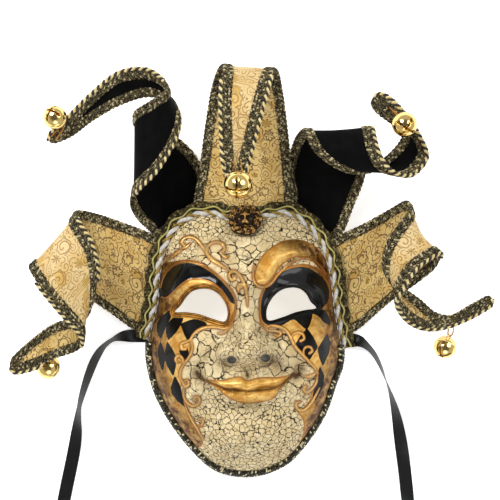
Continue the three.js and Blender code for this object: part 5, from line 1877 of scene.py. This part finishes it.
def figure_curl(g: Graph, place: object, scale: float, tightness: float) -> tuple:
    """Spiral lines |sin(angle / 2 + tightness reach)| round the middle of each cell, either way round.

    Returns:
        The cells' outputs, the line, the angle and the distance from each middle.
    """
    cells = g.cells(place, scale, "F1", 0.8)
    away_x, away_y, _ = g.apart(g.vector("SUBTRACT", place, cells["Position"]))
    _, other, _ = g.apart(cells["Color"])
    angle = g.math("ARCTAN2", away_y, away_x)
    turned = angle * g.math("SIGN", other - 0.5)
    reach = cells["Distance"]
    coil = turned.linear(0.5, reach * tightness)
    line = 1.0 - g.step(abs(g.math("SINE", coil)), 0.2, 0.5)
    return cells, line, angle, reach


def figure_group() -> Tree:
    """Woven figures of a brocade: Line of scrolls and flowers, Fill of some, Height of the floats."""
    g, source, result = new_group(
        "brocade_figure", {"Place": "Vector", "Size": "Float"}, ("Line", "Fill", "Height"))
    place = g.vector("SCALE", source["Place"], 1.0 / source["Size"])
    swirl = g.vector("SUBTRACT", g.noise(place, 0.9, 1.5)["Color"], (0.5, 0.5, 0.5))
    bent = g.vector("ADD", place, g.vector("SCALE", swirl, 0.5))
    big, large_curl, angle, reach = figure_curl(g, bent, 1.0, 13.0)
    _, small_curl, _, _ = figure_curl(g, bent, 1.9, 10.0)
    chance, _, third = g.apart(big["Color"])
    frame = g.math("COSINE", angle * 7.0).linear(0.03, reach)
    frame = 1.0 - g.step(abs(frame - 0.46), 0.015, 0.05)
    round_petal = abs(g.math("COSINE", angle * 4.0))
    petals = round_petal.linear(-0.18, reach)
    flower = 1.0 - g.step(abs(petals - 0.24), 0.015, 0.05)
    eye = 1.0 - g.step(abs(reach - 0.1), 0.015, 0.04)
    bloom = g.step(third, 0.66, 0.68)
    inside = g.step(reach, 0.45, 0.4)
    line = g.math("MAXIMUM", large_curl * inside, frame)
    line = g.blend(bloom, line, g.math("MAXIMUM", flower, eye))
    outside = g.step(reach, 0.48, 0.54)
    line = g.math("MAXIMUM", line, small_curl * outside)
    stripes = g.noise(g.vector("MULTIPLY", place, (0.35, 1.0, 1.0)), 0.8, 0.0)["Fac"]
    wave = abs(g.math("SINE", stripes * 60.0))
    leaves = 1.0 - g.step(wave, 0.25, 0.6)
    patch = g.step(g.noise(place, 0.3, 1.0)["Fac"], 0.56, 0.6)
    line = g.blend(patch, line, leaves * 0.8)
    inner = bloom * g.step(petals, 0.23, 0.2)
    filled = g.step(chance, 0.62, 0.66) * g.step(reach, 0.46, 0.42)
    fill = g.math("MAXIMUM", inner, filled * 0.8)
    g.feed(result, {"Line": line, "Fill": fill, "Height": fill * 0.5 - line})
    return g.tree


def thread_group() -> Tree:
    """Fine over-and-under threads of a cloth or a strand: Height from crossed sines."""
    g, source, result = new_group(
        "threads", {"Place": "Vector", "Pitch": "Float", "Slope": "Float"}, ("Height",))
    across, along, _ = g.apart(source["Place"])
    turn = 2 * math.pi / source["Pitch"]
    one = g.math("SINE", along.linear(source["Slope"], across) * turn)
    two = g.math("SINE", along * turn)
    g.feed(result, {"Height": one.linear(two, one * 0.5)})
    return g.tree


def wear_group() -> Tree:
    """Antique wear: Patch is blotches of several sizes, Rub is where high places lost their dark wax."""
    g, source, result = new_group("wear", {"Place": "Vector", "Size": "Float"}, ("Patch", "Rub"))
    place = g.vector("SCALE", source["Place"], 1.0 / source["Size"])
    big = g.noise(place, 1.0, 4.0, 0.6)["Fac"]
    small = g.noise(place, 4.5, 3.0, 0.6)["Fac"]
    patch = g.step(small.linear(0.35, big), 0.55, 0.82)
    g.feed(result, {"Patch": patch, "Rub": g.step(small, 0.45, 0.65)})
    return g.tree


@dataclass(frozen=True)
class Plain:
    """A finish that needs only constants: colour, metal, roughness, sheen and gloss."""

    colour: tuple
    roughness: float = 0.5
    metallic: float = 0.0
    sheen: float = 0.0
    gloss: float = 0.5

    def apply(self, name: str) -> tuple[Material, Graph, Node]:
        """Create a material with these constants set on its shader.

        Args:
            name: name of the material.

        Returns:
            The material, its Graph and its Principled shader.
        """
        paint = bpy.data.materials.new(name)
        paint.use_nodes = True
        g, shader = Graph(paint.node_tree), paint.node_tree.nodes["Principled BSDF"]
        g.feed(shader, {"Base Color": self.colour, "Roughness": self.roughness, "Metallic": self.metallic,
                        "Sheen Weight": self.sheen, "Specular IOR Level": self.gloss})
        return paint, g, shader


@dataclass(frozen=True)
class FacePaint:
    """Ivory crackled paint, black and gold harlequin painting and copper-gold scrolls under varnish."""

    base: Plain = Plain(rgb(212, 190, 142), roughness=0.42, gloss=0.14)
    pale: tuple = rgb(230, 212, 168)
    warm: tuple = rgb(182, 154, 106)
    crack: tuple = rgb(34, 25, 15)
    gold: tuple = rgb(198, 140, 56)
    gold_light: tuple = rgb(230, 188, 108)
    gold_dark: tuple = rgb(72, 34, 5)
    copper: tuple = rgb(158, 98, 42)
    outline: tuple = rgb(62, 35, 14)
    black: tuple = rgb(8, 8, 7)
    shade: tuple = rgb(74, 52, 30)
    pit: tuple = rgb(92, 90, 86)
    lid_level: float = -24.0
    lining: tuple = rgb(196, 184, 158)

    def make(self, crackle: Tree, wear: Tree) -> Material:
        """Build the material from the distances stored on the face."""
        paint, g, shader = self.base.apply("painted_face")
        place = g.object_mm()
        gold, black, bead = g.value("gold"), g.value("black"), g.value("bead")
        left, right = g.value("left_eye"), g.value("right_eye")
        cracks = g.use(crackle, Place=place, Fine=g.value("fine"))
        worn = g.use(wear, Place=place, Size=9.0)
        wobble = g.noise(place, 0.5, 2.0)["Fac"].linear(0.5, -0.25)
        gold_mask = g.step(gold + wobble, -0.3, 0.3)
        black_mask = g.step(black + wobble, -1.1, -0.7)
        bead_mask = g.step(bead, -0.1, 0.3)
        ring = 1.0 - g.step(left, 4.4, 5.1)
        ring_line = abs(g.math("SINE", left * 1.9))
        rim = 1.0 - g.step(right, 0.5, 0.9)
        ivory = g.mix(g.step(cracks["Tone"], 0.1, 0.9), self.base.colour, self.pale)
        ivory = g.mix(worn["Patch"] * 0.35, ivory, self.warm)
        ivory = g.mix(g.step(bead, -2.4, 0.0) * 0.55, ivory, self.copper)
        gilt = g.mix(worn["Patch"], self.gold_light, self.gold)
        # The gold grows darker in blotches towards the outer edge of the face.
        blotches = g.step(g.noise(place, 0.14, 4.0, 0.65)["Fac"], 0.38, 0.62)
        edge_darkening = g.value("edge") * blotches.linear(0.55, 0.5)
        gilt = g.mix(edge_darkening, gilt, self.gold_dark)
        gilt = g.mix(1.0 - g.step(gold, 0.0, 2.2), gilt, self.copper)
        roll = g.mix(worn["Patch"] * 0.8, self.gold, self.gold_dark)
        roll = g.mix(g.step(ring_line, 0.25, 0.85), self.outline, roll)
        # Painted highlight: the crest of each raised scroll is lighter gold, varied by the rubbed wear.
        crest_highlight = g.step(bead, 0.3, 1.3) * worn["Rub"].linear(-0.45, 1.0)
        cord = g.mix(crest_highlight, self.copper, self.gold_light)
        faded = worn["Patch"] * (0.75 - gold_mask)
        cord = g.mix(g.math("MAXIMUM", faded, 0.0), cord, self.warm)
        fissure = cracks["Line"] * g.blend(gold_mask, 1.0, 0.14)
        colour = g.mix(gold_mask, ivory, gilt)
        around = g.step(bead, -1.0, -0.1) * (1.0 - bead_mask)
        colour = g.mix(fissure, colour, self.crack)
        colour = g.mix(around * 0.5, colour, self.outline)
        colour = g.mix(black_mask, colour, self.black)
        colour = g.mix(ring, colour, roll)
        colour = g.mix(rim * 0.8, colour, self.black)
        colour = g.mix(bead_mask, colour, cord)
        # Painted shade and antique dirt: the blots darken the paint towards the shade colour, except on
        # black.
        shade_and_grime = g.value("dirt") * worn["Rub"].linear(0.3, 0.6)
        shade_and_grime = shade_and_grime * (1.0 - black_mask)
        colour = g.mix(shade_and_grime, colour, self.shade)
        # Painted shade along the mouth, its corners, the nose wings and the philtrum, in the outline
        # colour.
        crease = g.step(g.value("crease"), -1.4, 0.6)
        colour = g.mix(crease * 0.8, colour, self.outline)
        # Painted shade: the nostril hollows are painted dark grey.
        inside = g.value("inside") * (1.0 - g.value("pit"))
        colour = g.mix(g.value("pit") * 0.95, colour, self.pit)
        g.feed(shader, {"Base Color": g.mix(inside, colour, self.lining)})
        shiny = g.math("MAXIMUM", g.math("MAXIMUM", gold_mask, bead_mask), ring)
        bare = g.value("edge").linear(0.4, 0.35)
        metal = shiny * bare * (1.0 - black_mask)
        g.feed(shader, {"Metallic": metal * (1.0 - inside)})
        rough = g.blend(black_mask, g.blend(shiny, 0.46, 0.34), 0.27)
        g.feed(shader, {"Roughness": g.blend(inside, rough, 0.85)})
        _, upward, _ = g.apart(place)
        lids = black_mask * g.step(upward, self.lid_level - 4, self.lid_level + 4)
        middle = 1.0 - g.value("edge")
        g.feed(shader, {"Coat Weight": lids * middle * 0.45})
        open_cracks = 1.0 - fissure * (1.0 - black_mask)
        grain = g.noise(place, 1.6, 3.0)["Fac"]
        g.feed(shader, {"Normal": g.bump(grain.linear(0.25, open_cracks), 0.2, 0.8)})
        return paint


@dataclass(frozen=True)
class Knit:
    """Knitted trim of loops in several yarns: a dark, a light and a gold one."""

    name: str
    dark: tuple
    light: tuple
    gold: tuple
    pitch: float = 2.6
    lean: float = 0.85
    lane: float = 4.25
    columns: float = 3.0
    dark_share: float = 0.5
    gold_share: float = 0.8
    depth: float = 0.45
    fleck: float = 0.3

    def make(self, knit: Tree, threads: Tree) -> Material:
        """Build the material on the trim's UV, across and along it in mm."""
        paint, g, shader = Plain(self.light, roughness=0.65, gloss=0.12).apply(self.name)
        place = g.surface_mm()
        loops = g.use(knit, Place=place, Pitch=self.pitch, Lean=self.lean, Lane=self.lane,
                      Columns=self.columns)
        twist = g.use(threads, Place=place, Pitch=0.5, Slope=1.2)
        tone = loops["Tone"]
        yarn = g.mix(g.step(tone, self.dark_share - 0.25, self.dark_share + 0.15), self.dark, self.gold)
        yarn = g.mix(g.step(tone, self.gold_share - 0.03, self.gold_share + 0.03), yarn, self.light)
        yarn = g.mix(loops["Fleck"] * self.fleck, yarn, self.light)
        # Painted shade: the low places between the loops are darkened towards the dark yarn.
        deep_shade = 1.0 - g.step(loops["Height"], 0.2, 0.75)
        g.feed(shader, {
            "Base Color": g.mix(deep_shade * 0.85, yarn, self.dark),
            "Metallic": g.step(tone, self.dark_share, 1.0) * 0.45,
        })
        height = twist["Height"].linear(0.12, loops["Height"])
        g.feed(shader, {"Normal": g.bump(height, self.depth)})
        return paint


@dataclass(frozen=True)
class Brocade:
    """Jacquard cloth: a satin ground with woven outlines and filled motifs, paler on its reverse."""

    name: str = "gold_brocade"
    ground: tuple = rgb(220, 190, 120)
    line: tuple = rgb(96, 62, 18)
    motif: tuple = rgb(188, 142, 48)
    back_ground: tuple = rgb(215, 190, 136)
    back_line: tuple = rgb(146, 106, 40)
    back_motif: tuple = rgb(198, 156, 72)
    size: float = 14.5
    line_strength: float = 0.9
    motif_strength: float = 0.85

    def make(self, figure: Tree, threads: Tree) -> Material:
        """Build the material on the cloth's UV in mm."""
        paint, g, shader = Plain(self.ground, roughness=0.42, sheen=0.1).apply(self.name)
        place = g.surface_mm()
        woven = g.use(figure, Place=place, Size=self.size)
        weave = g.use(threads, Place=place, Pitch=0.42, Slope=0.5)
        shade = g.noise(place, 0.06, 3.0)["Fac"]
        back = g.value("reverse")
        ground, line, motif = (g.mix(back, *pair) for pair in (
            (self.ground, self.back_ground), (self.line, self.back_line), (self.motif, self.back_motif)))
        colour = g.mix(woven["Fill"] * self.motif_strength, ground, motif)
        # Painted shade: large patches of the ground are mixed towards the deeper motif gold.
        colour = g.mix(g.step(shade, 0.35, 0.7) * 0.6, colour, motif)
        colour = g.mix(woven["Line"] * self.line_strength, colour, line)
        g.feed(shader, {
            "Base Color": colour,
            "Roughness": g.blend(woven["Fill"], 0.5, 0.32),
            "Metallic": woven["Fill"].linear(0.25, 0.12),
        })
        height = weave["Height"].linear(0.12, woven["Height"])
        g.feed(shader, {"Normal": g.bump(height, 0.16)})
        return paint


@dataclass(frozen=True)
class Thread:
    """Twisted yarn or silk strand with fine slanted fibres and a slight change of colour along it."""

    name: str
    look: Plain
    second: tuple
    pitch: float = 0.7
    slope: float = 0.6
    depth: float = 0.1

    def make(self, threads: Tree) -> Material:
        """Build the material on the strand's UV in mm."""
        paint, g, shader = self.look.apply(self.name)
        place = g.surface_mm()
        fibres = g.use(threads, Place=place, Pitch=self.pitch, Slope=self.slope)
        blotch = g.step(g.noise(place, 0.35, 2.0)["Fac"], 0.35, 0.7)
        g.feed(shader, {
            "Base Color": g.mix(blotch, self.look.colour, self.second),
            "Normal": g.bump(fibres["Height"], self.depth),
        })
        return paint


@dataclass(frozen=True)
class Bronze:
    """Cast metal darkened in the hollows and rubbed to gold on the high places."""

    look: Plain = Plain(rgb(34, 24, 13), roughness=0.45, metallic=0.8)
    high: tuple = rgb(196, 150, 84)

    def make(self, wear: Tree) -> Material:
        """Build the material from the height stored on the casting."""
        paint, g, shader = self.look.apply("antique_bronze")
        worn = g.use(wear, Place=g.object_mm(), Size=3.0)
        rubbed = worn["Rub"].linear(0.25, g.value("rise"))
        g.feed(shader, {
            "Base Color": g.mix(g.step(rubbed, 0.55, 1.15), self.look.colour, self.high),
            "Roughness": g.blend(g.step(rubbed, 0.2, 0.9), 0.62, 0.34),
            "Normal": g.bump(worn["Patch"], 0.06),
        })
        return paint


@dataclass(frozen=True)
class Pile:
    """Black velvet or satin: near black, with a soft sheen painted into its colour as lighter patches."""

    name: str
    look: Plain
    second: tuple
    grain: float
    depth: float

    def make(self) -> Material:
        """Build the material on the cloth's UV in mm."""
        paint, g, shader = self.look.apply(self.name)
        place = g.surface_mm()
        # Painted sheen: soft patches of the colour are a little lighter.
        sheen_patches = g.step(g.noise(place, 0.07, 3.0)["Fac"], 0.35, 0.7)
        g.feed(shader, {
            "Base Color": g.mix(sheen_patches, self.look.colour, self.second),
            "Normal": g.bump(g.noise(place, self.grain, 2.0)["Fac"], self.depth),
        })
        return paint


@dataclass
class Finishes:
    """All materials, made once from the shared node groups."""

    def __post_init__(self) -> None:
        """Create the groups and the materials."""
        crackle, knit, figure = crackle_group(), knit_group(), figure_group()
        threads, wear = thread_group(), wear_group()
        self.face = FacePaint().make(crackle, wear)
        self.bronze = Bronze().make(wear)
        self.braid = Knit("metallic_braid", rgb(18, 15, 9), rgb(200, 186, 144), rgb(98, 84, 50), pitch=2.2,
                          dark_share=0.56, fleck=0.5, depth=0.6).make(knit, threads)
        self.jaw = Knit("jaw_braid", rgb(6, 6, 5), rgb(232, 220, 176), rgb(34, 29, 18), pitch=1.7, lane=3.0,
                        dark_share=0.62, gold_share=0.79, fleck=0.2, depth=0.6).make(knit, threads)
        self.gimp = Knit("olive_gimp", rgb(26, 23, 13), rgb(138, 124, 80), rgb(80, 71, 42), pitch=1.8,
                         lean=0.3, lane=3.4, columns=2.0, dark_share=0.45).make(knit, threads)
        cream, cream_shade = Plain(rgb(236, 222, 168), 0.45), rgb(214, 184, 108)
        self.cream_cord = Thread("cream_cord", cream, cream_shade).make(threads)
        dark, dark_shade = Plain(rgb(20, 17, 12), 0.5), rgb(52, 42, 24)
        self.dark_cord = Thread("dark_cord", dark, dark_shade).make(threads)
        wave, wave_shade = Plain(rgb(188, 178, 92), 0.45), rgb(214, 202, 128)
        self.gimp_cord = Thread("gimp_cord", wave, wave_shade).make(threads)
        self.silk = Thread("white_silk", Plain(rgb(240, 237, 228), 0.35), rgb(206, 200, 190),
                           pitch=1.1, slope=0.9, depth=0.25).make(threads)
        self.gold_silk = Thread("gold_silk", Plain(rgb(196, 164, 74), 0.38, 0.3), rgb(112, 90, 36),
                                pitch=0.9, slope=0.9, depth=0.2).make(threads)
        self.brocade = Brocade().make(figure, threads)
        velvet = Plain(rgb(7, 7, 7), 0.95, sheen=0.03, gloss=0.05)
        self.velvet = Pile("black_velvet", velvet, rgb(13, 12, 12), 2.0, 0.15).make()
        satin = Plain(rgb(9, 9, 9), 0.42, gloss=0.3)
        self.satin = Pile("black_satin", satin, rgb(15, 15, 15), 1.2, 0.04).make()
        self.bell, _, _ = Plain(rgb(236, 204, 128), 0.12, 1.0).apply("bell_gold")
        self.wire, _, _ = Plain(rgb(196, 140, 72), 0.28, 1.0).apply("gold_wire")


STRIPED_EDGES = {
    "centre": ((False, 0.66, 1.0), (True, 0.62, 1.0)),
    "upper_left": ((False, 0.6, 1.0), (True, 0.36, 0.62)),
    "upper_right": ((True, 0.36, 1.0),),
    "side_left": ((False, 0.4, 0.6), (True, 0.48, 0.72), (True, 0.88, 1.0)),
    "side_right": ((True, 0.4, 1.0),),
}


def main() -> None:
    """Build the camera, the studio and every piece of the mask."""
    logging.basicConfig(level=logging.INFO, format="%(message)s")
    Lens().make()
    Studio().make()
    looks = Finishes()
    Ribbon("satin_ribbon_left", Ribbon.LEFT_ROLL, LEFT_ROUTE, 1).make(looks.satin)
    Ribbon("satin_ribbon_right", Ribbon.RIGHT_ROLL, RIGHT_ROUTE, -1).make(looks.satin)
    form = FaceForm()
    FaceShell(FacePainting(form)).make(looks.face)
    LionHead().make(looks.bronze)
    trim = EdgeTrim(form)
    trim.rope([looks.silk, looks.gold_silk])
    trim.gimp([looks.gimp, looks.gimp_cord])
    trim.jaw(looks.jaw)
    for name in HORN_LINES:
        cloth = Cloth.VELVET if name.startswith("upper") else Cloth.BROCADE
        fabric = looks.velvet if cloth is Cloth.VELVET else looks.brocade
        horn = Horn(name, cloth, form, striped_edges=STRIPED_EDGES[name])
        horn.make(fabric, [looks.braid, looks.cream_cord, looks.dark_cord])
        Bell(name, *BELLS[name]).make(looks.bell, looks.wire)


if __name__ == "__main__":
    main()
